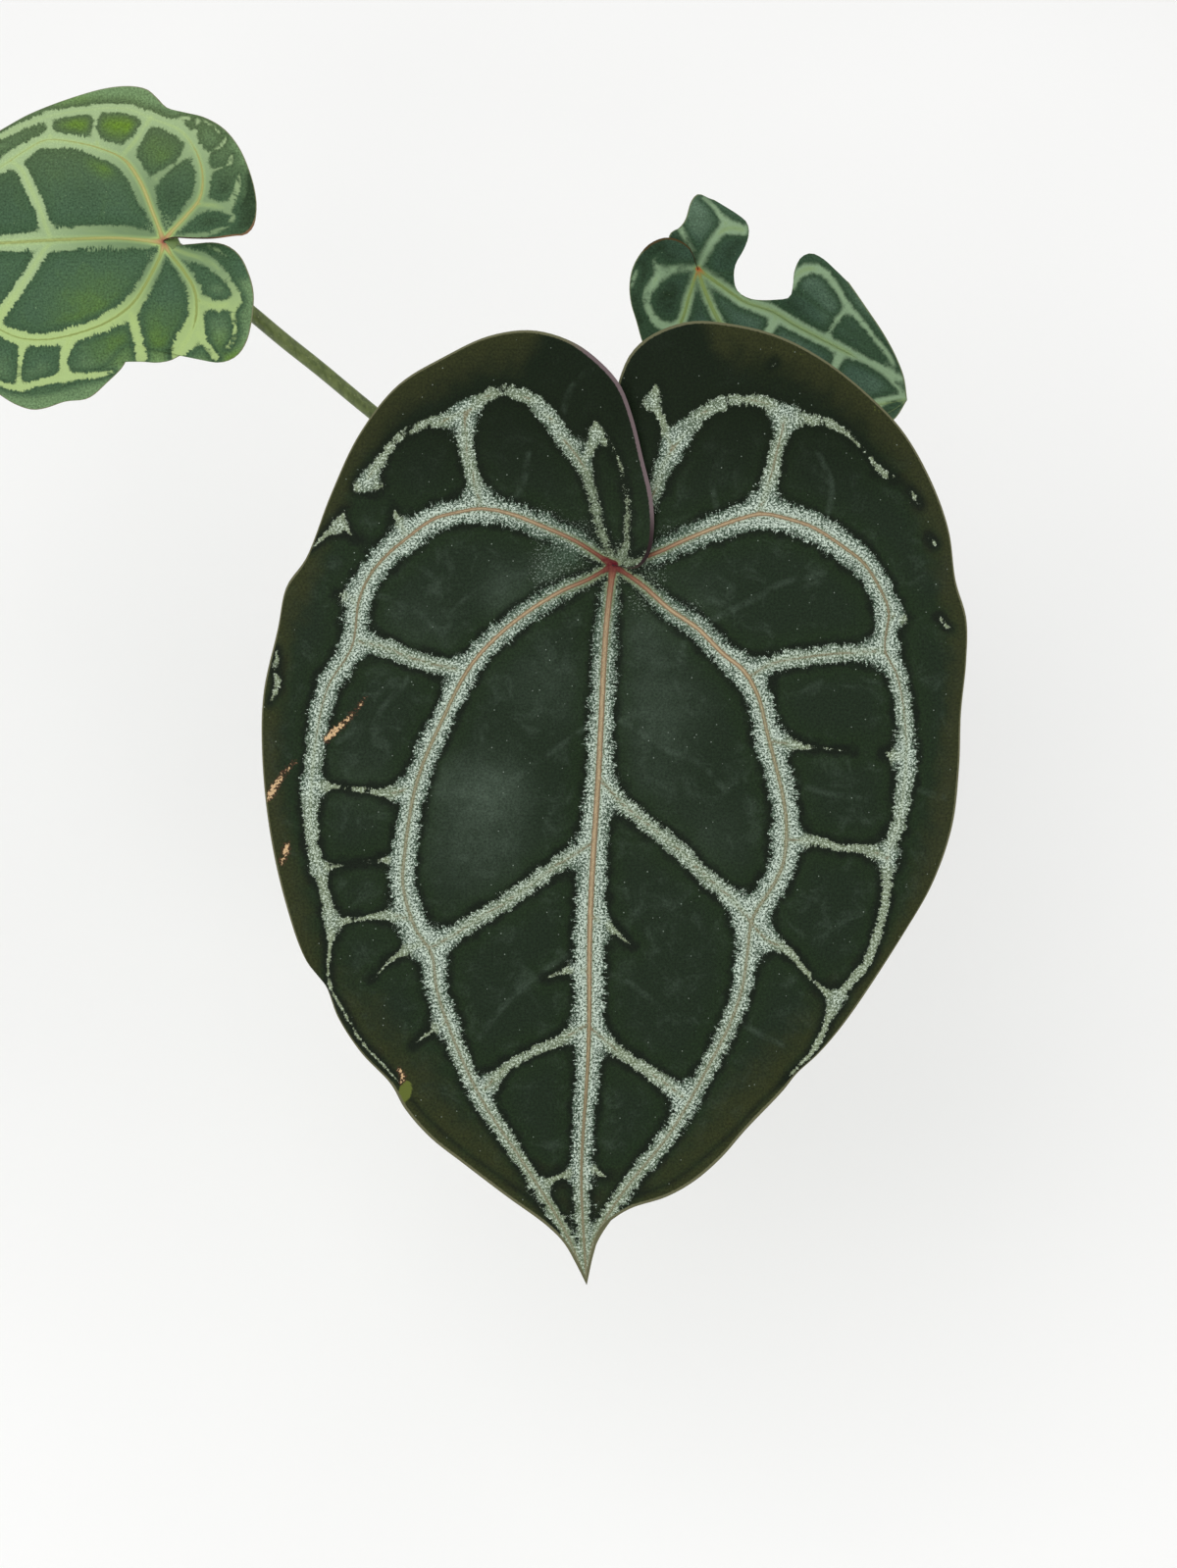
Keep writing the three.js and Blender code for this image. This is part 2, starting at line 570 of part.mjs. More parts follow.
// The bark mix fills the pot, with chips standing out of its top and plain holes round the stem and roots.
function makeSoil() {
  const random = randomFrom(CHIP_SEED);
  const foot = POT_FLOOR + GAP;
  const profile = [
    [0, foot],
    [potOuter(foot) - POT_WALL - GAP - 2, foot],
    [potOuter(foot + 2) - POT_WALL - GAP, foot + 2],
    [potOuter(SOIL_TOP) - POT_WALL - GAP, SOIL_TOP],
    [0, SOIL_TOP],
  ].map(([x, y]) => new THREE.Vector2(x, y));
  let soil = toSolid(new THREE.LatheGeometry(profile, POT_SIDES).rotateX(Math.PI / 2));
  for (let i = 0; i < CHIP_COUNT; i += 1) {
    const size = [8 + 8 * random(), 6 + 6 * random(), 4 + 4 * random()];
    const chip = new THREE.BoxGeometry(...size);
    chip.applyMatrix4(new THREE.Matrix4().makeRotationFromEuler(
      new THREE.Euler(0.7 * (random() - 0.5), 0.7 * (random() - 0.5), Math.PI * random()),
    ));
    const radius = 49 * Math.sqrt((i + 0.5) / CHIP_COUNT);
    const angle = 2.39996 * i + 0.4 * random();
    chip.translate(radius * Math.cos(angle), radius * Math.sin(angle), SOIL_TOP + 2 * random() - 0.5);
    soil = soil.add(toSolid(chip));
  }
  return soil.subtract(stemBody(GAP));
}

function biteCutter() {
  const places = BITE.map(([x, y]) => new THREE.Vector2(x, y));
  const block = new THREE.ExtrudeGeometry(new THREE.Shape(places), { depth: BITE_DEPTH, bevelEnabled: false });
  const corner = block.attributes.position;
  for (let i = 0; i < corner.count; i += 1) {
    const point = raised(BACK_BLADE, corner.getX(i), corner.getY(i), corner.getZ(i) - BITE_DEPTH / 2);
    corner.setXYZ(i, point.x, point.y, point.z);
  }
  return toSolid(block);
}

// The whole plant in its pot
const plant = new THREE.Group();
plant.add(namedMesh("pot", toGeometry(makePot()), potPlastic));
plant.add(namedMesh("bark_mix", toGeometry(makeSoil()), barkMix));
plant.add(namedMesh("stem_and_roots", toGeometry(makeStem()), stemSkin));
for (const sheath of SHEATHS) plant.add(namedMesh(sheath.name, toGeometry(makeSheath(sheath)), paperySheath));
plant.add(namedMesh("stalk_main", toGeometry(makeStalk(mainStalk)), stalkSkin));
plant.add(namedMesh("stalk_left", toGeometry(makeStalk(leftStalk)), stalkSkin));
plant.add(namedMesh("stalk_back", toGeometry(makeStalk(backStalk)), stalkSkin));
plant.add(namedMesh("blade_main", toGeometry(makeBlade(MAIN_BLADE, mainStalk)), velvetGreen));
plant.add(namedMesh("blade_left", toGeometry(makeBlade(LEFT_BLADE, leftStalk)), freshGreen));
const backBlade = makeBlade(BACK_BLADE, backStalk).subtract(biteCutter());
plant.add(namedMesh("blade_back", toGeometry(backBlade), backGreen));

export default plant;
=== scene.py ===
"""A potted anthurium hybrid: velvet leaves with silver veins, on long stalks, in a plain pot.

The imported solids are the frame. Each class builds one sub-assembly over them and dresses it.
Plans are in millimetres, as in the solids' own source, and meshes are in metres.
"""
import logging
import math
from contextlib import contextmanager
from dataclasses import dataclass, field
from enum import Enum
from typing import Callable, Iterator, Sequence

import bpy
import numpy as np
from mathutils import Euler, Matrix, Vector


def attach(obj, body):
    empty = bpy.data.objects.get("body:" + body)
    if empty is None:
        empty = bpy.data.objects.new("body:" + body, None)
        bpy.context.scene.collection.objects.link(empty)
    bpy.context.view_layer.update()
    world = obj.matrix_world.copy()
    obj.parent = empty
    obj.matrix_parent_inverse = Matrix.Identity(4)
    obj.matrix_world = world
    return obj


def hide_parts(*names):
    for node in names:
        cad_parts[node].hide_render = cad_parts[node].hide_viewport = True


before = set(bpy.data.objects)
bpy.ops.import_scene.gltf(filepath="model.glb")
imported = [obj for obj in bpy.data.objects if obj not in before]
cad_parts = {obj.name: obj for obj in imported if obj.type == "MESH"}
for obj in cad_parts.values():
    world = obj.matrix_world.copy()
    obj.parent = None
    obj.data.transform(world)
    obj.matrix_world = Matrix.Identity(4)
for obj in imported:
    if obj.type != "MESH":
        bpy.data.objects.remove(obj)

MM = 0.001
BODY = "root"

# The blades face up and forward at one tilt, and are laid out as seen from in front of them.
FACING_TILT = math.radians(62)
ACROSS = np.array((1.0, 0.0, 0.0))
UP = np.array((0.0, math.sin(FACING_TILT), math.cos(FACING_TILT)))
FACING = np.array((0.0, -math.cos(FACING_TILT), math.sin(FACING_TILT)))
MAIN_SEAT = np.array((20.0, -96.0, 315.0))

# Where the picture is taken from, where its middle lies in the main blade's plan, and its height there.
SIGHT_DISTANCE = 800.0
PICTURE_MIDDLE = (-7.0, -62.0)
SIGHT_HEIGHT = 444.2
EYE = MAIN_SEAT + PICTURE_MIDDLE[0] * ACROSS + PICTURE_MIDDLE[1] * UP + SIGHT_DISTANCE * FACING
SENSOR = 36.0

# Seams closer than this, in metres, are merged. Parts that stand in others keep this clearance.
SEAM_REACH = 1e-6
CLEARANCE = 0.3

# How finely distances to a vein are worked out, and how many of them at once.
LINE_STEP = 1.3
BLOCK_SIZE = 3000000

# The distance noted where a blade has no mark of a kind, how far the noise of each vein and half is
# moved on from the last, and the main blade's reach, which sets how softly bands meet on the others.
FAR = 99.0
NOISE_SHIFT = 40.0
MAIN_REACH = 204.0

# The turn from one chip to the next, which spreads them evenly.
GOLDEN_ANGLE = 2.39996

Array = np.ndarray
Piece = bpy.types.Object
Material = bpy.types.Material
Colour = tuple[float, float, float]
Pair = tuple[float, float]
Spot = tuple[float, float, float]
Patch = tuple[float, float, float, float]
Points = Sequence[Pair]
Strokes = Sequence[Sequence[Spot]]
Stops = Sequence[tuple[float, Colour]]
RadiusAt = Callable[[Array, Array], Array]


def smooth(low: float, high: float, value: Array) -> Array:
    """Runs from 0 at low to 1 at high with level ends."""
    share = np.clip((value - low) / (high - low), 0, 1)
    return share * share * (3 - 2 * share)


def random_from(seed: int) -> Callable[[], float]:
    """Gives a repeatable random number from 0 to 1, the same as the solids' source draws.

    Args:
        seed: Where the row of numbers starts.

    Returns:
        A function that draws the next number.
    """
    state = seed

    def draw() -> float:
        """Draws the next number."""
        nonlocal state
        state = (state * 1664525 + 1013904223) % 4294967296
        return state / 4294967296

    return draw


class FlowLine:
    """A smooth line through given points, read by the length along it."""

    STEPS = 16

    def __init__(self, points: Sequence[Sequence[float]]) -> None:
        """Samples the line.

        Args:
            points: Places in millimetres, in two or three dimensions.
        """
        knots = np.array(points, float)
        knots = np.vstack((2 * knots[0] - knots[1], knots, 2 * knots[-1] - knots[-2]))
        share = (np.arange(self.STEPS) / self.STEPS)[:, None]
        stretches = [self._stretch(*knots[i:i + 4], share) for i in range(len(knots) - 3)]
        self.places = np.vstack((*stretches, knots[-2]))
        steps = np.linalg.norm(np.diff(self.places, axis=0), axis=1)
        self.runs = np.concatenate(((0.0,), np.cumsum(steps)))
        self.length = float(self.runs[-1])

    @staticmethod
    def _stretch(before: Array, start: Array, end: Array, after: Array, share: Array) -> Array:
        """Samples the line between two of its points.

        Args:
            before: The point before the stretch.
            start: Where the stretch starts.
            end: Where it ends.
            after: The point after it.
            share: Shares of the way from start to end, as a column.

        Returns:
            One place for each share.
        """
        spans = [math.sqrt(np.linalg.norm(b - a)) for a, b in ((before, start), (start, end), (end, after))]
        first, middle, last = spans
        leave = (start - before) / first - (end - before) / (first + middle) + (end - start) / middle
        arrive = (end - start) / middle - (after - start) / (middle + last) + (after - end) / last
        leave, arrive = leave * middle, arrive * middle
        square = -3 * start + 3 * end - 2 * leave - arrive
        cube = 2 * start - 2 * end + leave + arrive
        return start + leave * share + square * share ** 2 + cube * share ** 3

    def at(self, run: Array) -> Array:
        """Gives the places at these lengths along the line."""
        run = np.clip(run, 0, self.length)
        return np.stack([np.interp(run, self.runs, axis) for axis in self.places.T], axis=-1)


# Work in the editor

def select_only(*pieces: Piece) -> None:
    """Selects pieces and nothing else.

    Args:
        *pieces: The pieces, the first of which becomes active.
    """
    bpy.ops.object.select_all(action="DESELECT")
    for piece in pieces:
        piece.select_set(True)
    bpy.context.view_layer.objects.active = pieces[0]


@contextmanager
def editing(piece: Piece) -> Iterator[None]:
    """Holds a piece in edit mode with all of it selected.

    Args:
        piece: The piece.
    """
    select_only(piece)
    bpy.ops.object.mode_set(mode="EDIT")
    bpy.ops.mesh.select_all(action="SELECT")
    yield
    bpy.ops.object.mode_set(mode="OBJECT")


def added(shape: Callable[..., set[str]], name: str, **settings: object) -> Piece:
    """Adds an object by one of the editor's own commands, with nothing else selected.

    Args:
        shape: The command.
        name: The new object's name.
        **settings: What the command is told.

    Returns:
        The object.
    """
    bpy.ops.object.select_all(action="DESELECT")
    shape(**settings)
    piece = bpy.context.object
    piece.name = name
    return piece


def close_seams(piece: Piece) -> None:
    """Merges the corners that lie on each other and turns the faces outward."""
    with editing(piece):
        bpy.ops.mesh.remove_doubles(threshold=SEAM_REACH)
        bpy.ops.mesh.normals_make_consistent(inside=False)


def join(pieces: Sequence[Piece], name: str) -> Piece:
    """Joins pieces into the first of them.

    Args:
        pieces: What is joined.
        name: The joined piece's name.

    Returns:
        The joined piece.
    """
    select_only(*pieces)
    bpy.ops.object.join()
    piece = bpy.context.object
    piece.name = name
    return piece


def cut(piece: Piece, cutter: Piece) -> None:
    """Cuts a closed piece with another.

    Args:
        piece: What is cut.
        cutter: What cuts it, which is then removed.
    """
    select_only(piece)
    tool = piece.modifiers.new("cut", "BOOLEAN")
    tool.operation = "DIFFERENCE"
    tool.solver = "MANIFOLD"
    tool.object = cutter
    bpy.ops.object.modifier_apply(modifier=tool.name)
    bpy.data.objects.remove(cutter)


def corners_of(piece: Piece) -> Array:
    """Gives a piece's corners, one row each."""
    flat = np.zeros(len(piece.data.vertices) * 3, np.float32)
    piece.data.vertices.foreach_get("co", flat)
    return flat.reshape(-1, 3)


def move_corners(piece: Piece, places: Array) -> None:
    """Moves a piece's corners to these places, in metres."""
    piece.data.vertices.foreach_set("co", places.astype(np.float32).ravel())


def note(piece: Piece, name: str, values: Array) -> None:
    """Writes one number, or one vector, for each corner.

    Args:
        piece: The piece to write on.
        name: The attribute's name.
        values: One row for each corner.
    """
    kind, key = ("FLOAT_VECTOR", "vector") if values.ndim == 2 else ("FLOAT", "value")
    attribute = piece.data.attributes.new(name, kind, "POINT")
    attribute.data.foreach_set(key, np.ascontiguousarray(values, np.float32).ravel())


def shaped_grid(name: str, places: Array, notes: dict[str, Array] | None = None) -> Piece:
    """Adds a flat grid and moves each of its corners to a place of its own.

    Args:
        name: The new piece's name.
        places: Places in millimetres by row, column and axis.
        notes: Values by row and column to keep as attributes.

    Returns:
        The grid, its seams still open.
    """
    rows, columns = places.shape[0] - 1, places.shape[1] - 1
    piece = added(bpy.ops.mesh.primitive_grid_add, name, x_subdivisions=columns, y_subdivisions=rows, size=2)
    flat = corners_of(piece)
    column = np.rint((flat[:, 0] + 1) / 2 * columns).astype(int)
    row = np.rint((flat[:, 1] + 1) / 2 * rows).astype(int)
    move_corners(piece, places[row, column] * MM)
    for key, values in (notes or {}).items():
        note(piece, key, values[row, column])
    piece.data.update()
    return piece


def swept(name: str, line: FlowLine, rings: int, sides: int, radius_at: RadiusAt) -> Piece:
    """Sweeps a round, closed shape along a line.

    Args:
        name: The piece's name.
        line: The line, in millimetres.
        rings: Steps along it.
        sides: Steps round it.
        radius_at: Gives the radius from the share of the way along and the angle round.

    Returns:
        The closed piece, with its length along the line in the attribute run.
    """
    share = np.concatenate(((0.0,), np.linspace(0, 1, rings + 1), (1.0,)))
    angle = np.linspace(0, 2 * math.pi, sides + 1)
    centre = line.at(share * line.length)
    ahead = line.at(share * line.length + 0.5) - line.at(share * line.length - 0.5)
    ahead /= np.linalg.norm(ahead, axis=1)[:, None]
    side = np.cross(ahead[0], (0.3, 1.0, 0.2))
    sideways = np.empty_like(ahead)
    for i, direction in enumerate(ahead):
        side = side - direction * side.dot(direction)
        side = side / np.linalg.norm(side)
        sideways[i] = side
    outward = np.cross(ahead, sideways)
    radius = radius_at(share[:, None], angle[None, :]) * np.ones((len(share), len(angle)))
    radius[[0, -1]] = 0
    radius[:, -1] = radius[:, 0]
    across, out = np.cos(angle)[None, :, None], np.sin(angle)[None, :, None]
    ring = across * sideways[:, None] + out * outward[:, None]
    places = centre[:, None] + radius[:, :, None] * ring
    run = np.repeat(share[:, None] * line.length, sides + 1, axis=1)
    piece = shaped_grid(name, places, {"run": run})
    close_seams(piece)
    return piece


# Shader work

def paint(red: int, green: int, blue: int) -> Colour:
    """Turns a screen colour into the light it stands for."""
    shares = (red / 255, green / 255, blue / 255)
    return tuple(((c + 0.055) / 1.055) ** 2.4 if c > 10 / 255 else c / 12.92 for c in shares)


class Signal:
    """A value in a shader, which Python's own signs add to, multiply and so on."""

    def __init__(self, dresser: "Dresser", socket: bpy.types.NodeSocket) -> None:
        """Wraps a socket."""
        self.dresser = dresser
        self.socket = socket

    def _maths(self, operation: str, *values: "Signal | float") -> "Signal":
        """Adds a Math node."""
        return self.dresser.add("ShaderNodeMath", {"operation": operation}, dict(enumerate(values)))

    def __add__(self, other: "Signal | float") -> "Signal":
        """Adds."""
        return self._maths("ADD", self, other)

    def __sub__(self, other: "Signal | float") -> "Signal":
        """Takes away."""
        return self._maths("SUBTRACT", self, other)

    def __rsub__(self, other: "Signal | float") -> "Signal":
        """Takes this away from a number."""
        return self._maths("SUBTRACT", other, self)

    def __mul__(self, other: "Signal | float") -> "Signal":
        """Multiplies."""
        return self._maths("MULTIPLY", self, other)

    def __truediv__(self, other: "Signal | float") -> "Signal":
        """Divides."""
        return self._maths("DIVIDE", self, other)

    __radd__ = __add__
    __rmul__ = __mul__

    def least(self, other: "Signal | float") -> "Signal":
        """Gives the smaller of two."""
        return self._maths("MINIMUM", self, other)

    def most(self, other: "Signal | float") -> "Signal":
        """Gives the larger of two."""
        return self._maths("MAXIMUM", self, other)

    def length(self) -> "Signal":
        """Gives a vector's length."""
        return self.dresser.add("ShaderNodeVectorMath", {"operation": "LENGTH"}, {0: self}, out=1)

    def step(self, low: float, high: float) -> "Signal":
        """Runs from 0 at low to 1 at high with level ends, or the other way if low is the larger."""
        return self.dresser.add(
            "ShaderNodeMapRange", {"interpolation_type": "SMOOTHSTEP"}, {0: self, 1: low, 2: high})


class Dresser:
    """Builds one material's nodes."""

    def __init__(self, name: str) -> None:
        """Starts an empty material.

        Args:
            name: The material's name.
        """
        self.material = bpy.data.materials.new(name)
        self.material.use_nodes = True
        self.tree = self.material.node_tree
        self.tree.nodes.clear()

    def add(self, kind: str, settings: dict | None = None, inputs: dict | None = None,
            out: int = 0) -> Signal:
        """Adds a node.

        Args:
            kind: The node's type.
            settings: Its own settings. stops are a ramp's places and colours.
            inputs: Values or signals for its sockets, by number or name.
            out: Which of its outputs is given back.

        Returns:
            That output.
        """
        node = self.tree.nodes.new(kind)
        for key, value in (settings or {}).items():
            if key == "stops":
                self._set_stops(node.color_ramp, value)
            else:
                setattr(node, key, value)
        for key, value in (inputs or {}).items():
            socket = node.inputs[key]
            if isinstance(value, Signal):
                self.tree.links.new(value.socket, socket)
            elif socket.type == "RGBA":
                socket.default_value = (*value, 1.0)
            else:
                socket.default_value = value
        return Signal(self, node.outputs[out])

    @staticmethod
    def _set_stops(ramp: bpy.types.ColorRamp, stops: Stops) -> None:
        """Sets a ramp's stops."""
        while len(ramp.elements) < len(stops):
            ramp.elements.new(0.5)
        for element, (place, colour) in zip(ramp.elements, stops):
            element.position = place
            element.color = (*colour, 1.0)

    def place(self) -> Signal:
        """Gives the place on the piece, in metres."""
        return self.add("ShaderNodeTexCoord", out=3)

    def read(self, name: str, out: int = 2) -> Signal:
        """Reads one of the piece's attributes: a number, or with out 1 a vector."""
        return self.add("ShaderNodeAttribute", {"attribute_name": name}, out=out)

    def parts(self, vector: Signal) -> tuple[Signal, ...]:
        """Splits a vector in three."""
        first = self.add("ShaderNodeSeparateXYZ", inputs={0: vector})
        return tuple(Signal(self, socket) for socket in first.socket.node.outputs)

    def vector(self, x: Signal | float, y: Signal | float, z: Signal | float = 0.0) -> Signal:
        """Makes a vector."""
        return self.add("ShaderNodeCombineXYZ", inputs={0: x, 1: y, 2: z})

    def noise(self, vector: Signal, scale: float, detail: float = 2.0, rough: float = 0.5,
              warp: float = 0.0) -> Signal:
        """Adds soft noise from about 0.2 to 0.8.

        Args:
            vector: Where it is read.
            scale: Waves to the unit of vector.
            detail: Finer layers on top.
            rough: How strong the finer layers are.
            warp: How far it is bent.

        Returns:
            The noise.
        """
        return self.add("ShaderNodeTexNoise", inputs={
            "Vector": vector, "Scale": scale, "Detail": detail, "Roughness": rough, "Distortion": warp})

    def streaks(self, place: Signal, squeeze: float, scale: float) -> Signal:
        """Adds soft noise that is drawn out upward, by squeezing the height before it is read."""
        tall = self.add("ShaderNodeVectorMath", {"operation": "MULTIPLY"}, {0: place, 1: (1, 1, squeeze)})
        return self.noise(tall, scale, 3.0)

    def cells(self, vector: Signal, scale: float) -> Signal:
        """Adds a cell pattern's distance from its cells' points."""
        return self.add("ShaderNodeTexVoronoi", inputs={"Vector": vector, "Scale": scale})

    def mix(self, factor: Signal | float, first: Signal | Colour, second: Signal | Colour,
            blend: str = "MIX") -> Signal:
        """Mixes two colours.

        Args:
            factor: How much of the second there is.
            first: A colour.
            second: Another.
            blend: The way of mixing.

        Returns:
            The mixed colour.
        """
        return self.add("ShaderNodeMix", {"data_type": "RGBA", "blend_type": blend},
                        {0: factor, 6: first, 7: second}, out=2)

    def ramp(self, factor: Signal, stops: Stops) -> Signal:
        """Reads a colour from a row of stops."""
        return self.add("ShaderNodeValToRGB", {"stops": stops}, {0: factor})

    def grained(self, share: float, colour: Signal, grain: Signal, *stops: Pair) -> Signal:
        """Darkens or lightens a colour by grain.

        Args:
            share: How much of the effect there is.
            colour: The colour.
            grain: The grain.
            *stops: Values of the grain, each with the factor there.

        Returns:
            The grained colour.
        """
        factors = self.ramp(grain, [(value, (factor,) * 3) for value, factor in stops])
        return self.mix(share, colour, factors, "MULTIPLY")

    def bump(self, height: Signal, depth: float, strength: float) -> Signal:
        """Turns a height from 0 to 1 into a normal, depth being its size in metres."""
        return self.add("ShaderNodeBump", inputs={"Height": height, "Distance": depth, "Strength": strength})

    def finish(self, colour: Signal, roughness: Signal | float, normal: Signal | None = None,
               **constants: float | Colour) -> Material:
        """Ends the material.

        Args:
            colour: Its base colour.
            roughness: Its roughness.
            normal: Its normal, if it has relief.
            **constants: Other sockets of the shader by name, with _ for each space.

        Returns:
            The material.
        """
        inputs: dict = {"Base Color": colour, "Roughness": roughness}
        if normal is not None:
            inputs["Normal"] = normal
        inputs |= {name.replace("_", " "): value for name, value in constants.items()}
        shader = self.add("ShaderNodeBsdfPrincipled", inputs=inputs)
        output = self.tree.nodes.new("ShaderNodeOutputMaterial")
        self.tree.links.new(shader.socket, output.inputs["Surface"])
        return self.material


# Finishes

@dataclass(frozen=True)
class LeafFinish:
    """One blade's colours, and how its silver bands fray. Lengths are in millimetres."""

    name: str
    # The dark green beside the bands, also the colour of the painted shade patches.
    outline: Colour
    near: Colour
    cell: Colour
    # The pale green of the faint threads, also the colour of the painted sheen.
    sheen_and_thread: Colour
    margin: Colour
    crown: Colour
    rim: Colour
    silver: Colour
    hollow: Colour
    stain: Colour
    heart: Colour
    flush: Colour
    line: Colour
    faded: Colour
    under: Colour
    under_vein: Colour
    scar: Colour = paint(204, 160, 112)
    burn: Colour = paint(70, 48, 34)
    worn: Colour = paint(92, 102, 44)
    tarnish: Colour = paint(150, 156, 104)
    # The sides of the vein's thin line: partly their own colour, partly painted shade beside the raised line.
    border: Colour = paint(86, 58, 42)
    # The rim of the lobe that laps over: partly its own colour, partly painted shadow along it.
    lip: Colour = paint(112, 88, 82)
    rim_reach: float = 0.35
    dim: float = 0.5
    seat_reach: float = 46.0
    # Painted light: how far the bands turn lighter and yellower towards the lower side; the line there turns
    # olive too.
    olive: float = 0.0
    fringe: float = 4.6
    wobble: float = 3.6
    blur: float = 0.22
    grain: float = 1.0
    stained: float = 0.45
    cell_reach: float = 14.0
    roughness: float = 0.62
    gloss: float = 0.1

    def upper(self) -> Material:
        """Dresses the velvet upper face.

        Returns:
            The material.
        """
        d = Dresser(self.name + "_upper")
        plan = d.read("plan", 1)
        across, height, half = d.parts(plan)
        names = ("band", "gap", "run", "rim", "line", "tone")
        band, gap, run, rim, line, tone = (d.read(name) for name in names)
        close = d.vector(across, height).length().step(self.seat_reach, self.seat_reach * 0.2)
        hair = d.noise(d.vector(run, gap * 0.22, half), 1.5, 3.0, 0.7)
        speck = d.noise(plan, 1.7, 3.0, 0.8)
        cloud = d.noise(plan, 0.09, 2.0, 0.5)
        grit = d.noise(plan, 1.4, 2.0, 0.6)
        slender = ((gap - band) / 2.9).least(1.0)
        fray = (hair - 0.5) * (cloud.step(0.4, 0.62) * self.fringe + self.fringe * 0.7)
        fray = fray + (d.noise(plan, 0.3, 2.0, 0.6) - 0.5) * self.wobble
        broken = (1 - slender) * d.noise(plan, 0.45, 2.0, 0.6).step(0.5, 0.62)
        inside = fray * slender - band - broken * 0.5
        loose = (speck - 0.5) * ((close * 4.2 + 0.9) * self.grain)
        cover = ((inside + loose) / (close * 0.8 + 1)).step(-self.blur, self.blur)
        mist = d.read("mist")
        misty = (mist + (speck - 0.5) * 4.0).step(0.55, 1.0) * mist.step(0.04, 0.3)
        dense = inside.step(-0.4, 2.4) * 0.08 + (cloud - 0.5) * 0.05 - close * (0.12 * self.dim)
        filled = (speck + dense).step(0.525, 0.605)
        silver = d.mix(1 - (1 - filled) * self.grain, self.hollow, self.silver)
        silver = d.mix((1 - slender) * 0.4, silver, self.tarnish)
        silver = d.mix((close * (0.7 * self.dim)).most((misty - cover) * 0.6), silver, self.hollow)
        # Painted light: the bands turn lighter and yellower towards the lower side.
        silver = d.mix(height.step(-8, -26) * (0.55 * self.olive), silver, self.stain)
        cover = cover.most(misty)
        beside = line.step(1.2, 0.1) * (tone.step(0.45, 0.15) * (0.7 - self.stained) + self.stained)
        silver = d.mix(beside, silver, self.stain)
        colour = d.mix(cover, self._cells(d, plan, band, height), silver)
        line_colour, shown = self._line(d, plan, line, tone, height)
        colour = d.mix(shown, colour, line_colour)
        worn = (d.read("worn") + (grit - 0.5) * 1.5).step(0.2, -0.3)
        colour = d.mix(worn, colour, self.worn)
        hurt = d.read("scar") + (grit - 0.5) * 3.0
        colour = d.mix(hurt.step(0.8, 0.2) * 0.8, colour, self.burn)
        colour = d.mix(hurt.step(0.12, -0.1), colour, self.scar)
        # The rim where the left lobe laps over the right: partly its own colour, partly painted shadow along
        # it, near black by the seat.
        lip = d.read("lip")
        lip_and_shadow_colour = d.mix(close.step(0.8, 1.0) * 0.9, self.lip, tuple(c * 0.08 for c in self.heart))
        edge = (rim - lip * 0.35 + (grit - 0.5) * 0.5).step(self.rim_reach + 0.15, self.rim_reach - 0.15)
        colour = d.mix(edge, colour, d.mix(lip, self.rim, lip_and_shadow_colour))
        relief = d.noise(plan, 2.6, 2.0, 0.6) * 0.12 + filled * cover * 0.12 + line.step(0.3, -0.5)
        return d.finish(
            colour, self.roughness - 0.06 * cover + (grit - 0.5) * 0.15, d.bump(relief, 0.35 * MM, 0.8),
            Specular_IOR_Level=self.gloss, Sheen_Weight=0.02, Sheen_Roughness=0.4)

    def _cells(self, d: Dresser, plan: Signal, band: Signal, height: Signal) -> Signal:
        """Paints the green between the bands, with painted sheen and painted shade on it.

        Args:
            d: The material's dresser.
            plan: The place in the blade's plan.
            band: The distance outside the bands.
            height: The plan's height above the seat.

        Returns:
            The colour.
        """
        mottle = d.noise(plan, 0.22, 3.0, 0.55)
        out = band / self.cell_reach + (mottle - 0.5) * 0.35
        shares = zip(self.outline, self.near)
        edge = tuple(dark * self.grain + light * (1 - self.grain) for dark, light in shares)
        green = d.ramp(out, ((0.0, edge), (0.05, edge), (0.17, self.near), (0.5, self.cell)))
        # Painted sheen where the light patches are above 0 and painted shade where they are below 0, broken
        # up by the mottle.
        glow = d.read("glow") * (mottle.step(0.25, 0.7) * 0.5 + 0.5) * band.step(0.1, 3.0)
        # Painted sheen: soft mottled patches of the pale green over the cells, stronger on the more grainy
        # finishes.
        sheen = d.noise(plan, 0.13, 4.0, 0.7, 0.6).step(0.48, 0.75) * band.step(0.5, 4)
        green = d.mix(sheen * (self.grain * 0.35), green, self.sheen_and_thread)
        green = d.mix(height.step(5, 45) * 0.85, green, self.crown)
        margin = (d.read("margin") + (mottle - 0.5) * 12).step(18, 1) * band.step(0, 3)
        green = d.mix(margin * 0.75, green, self.margin)
        # The light patches: painted sheen in the pale green, then painted shade in the dark outline green.
        green = d.mix(glow, green, self.sheen_and_thread)
        green = d.mix(0 - glow, green, self.outline)
        thread = d.read("thread").step(1.3, -0.2) * band.step(0.3, 2) * mottle.step(0.3, 0.6)
        green = d.mix(thread * 0.4, green, self.sheen_and_thread)
        dots = d.cells(plan, 0.33).step(0.075, 0.03) * band.step(0.5, 1.5)
        green = d.mix(dots * 0.35, green, self.silver)
        grain = d.noise(plan, 1.5, 3.0, 0.75)
        return d.grained(1.0, green, grain, (0.25, 0.35), (0.75, 1.55))

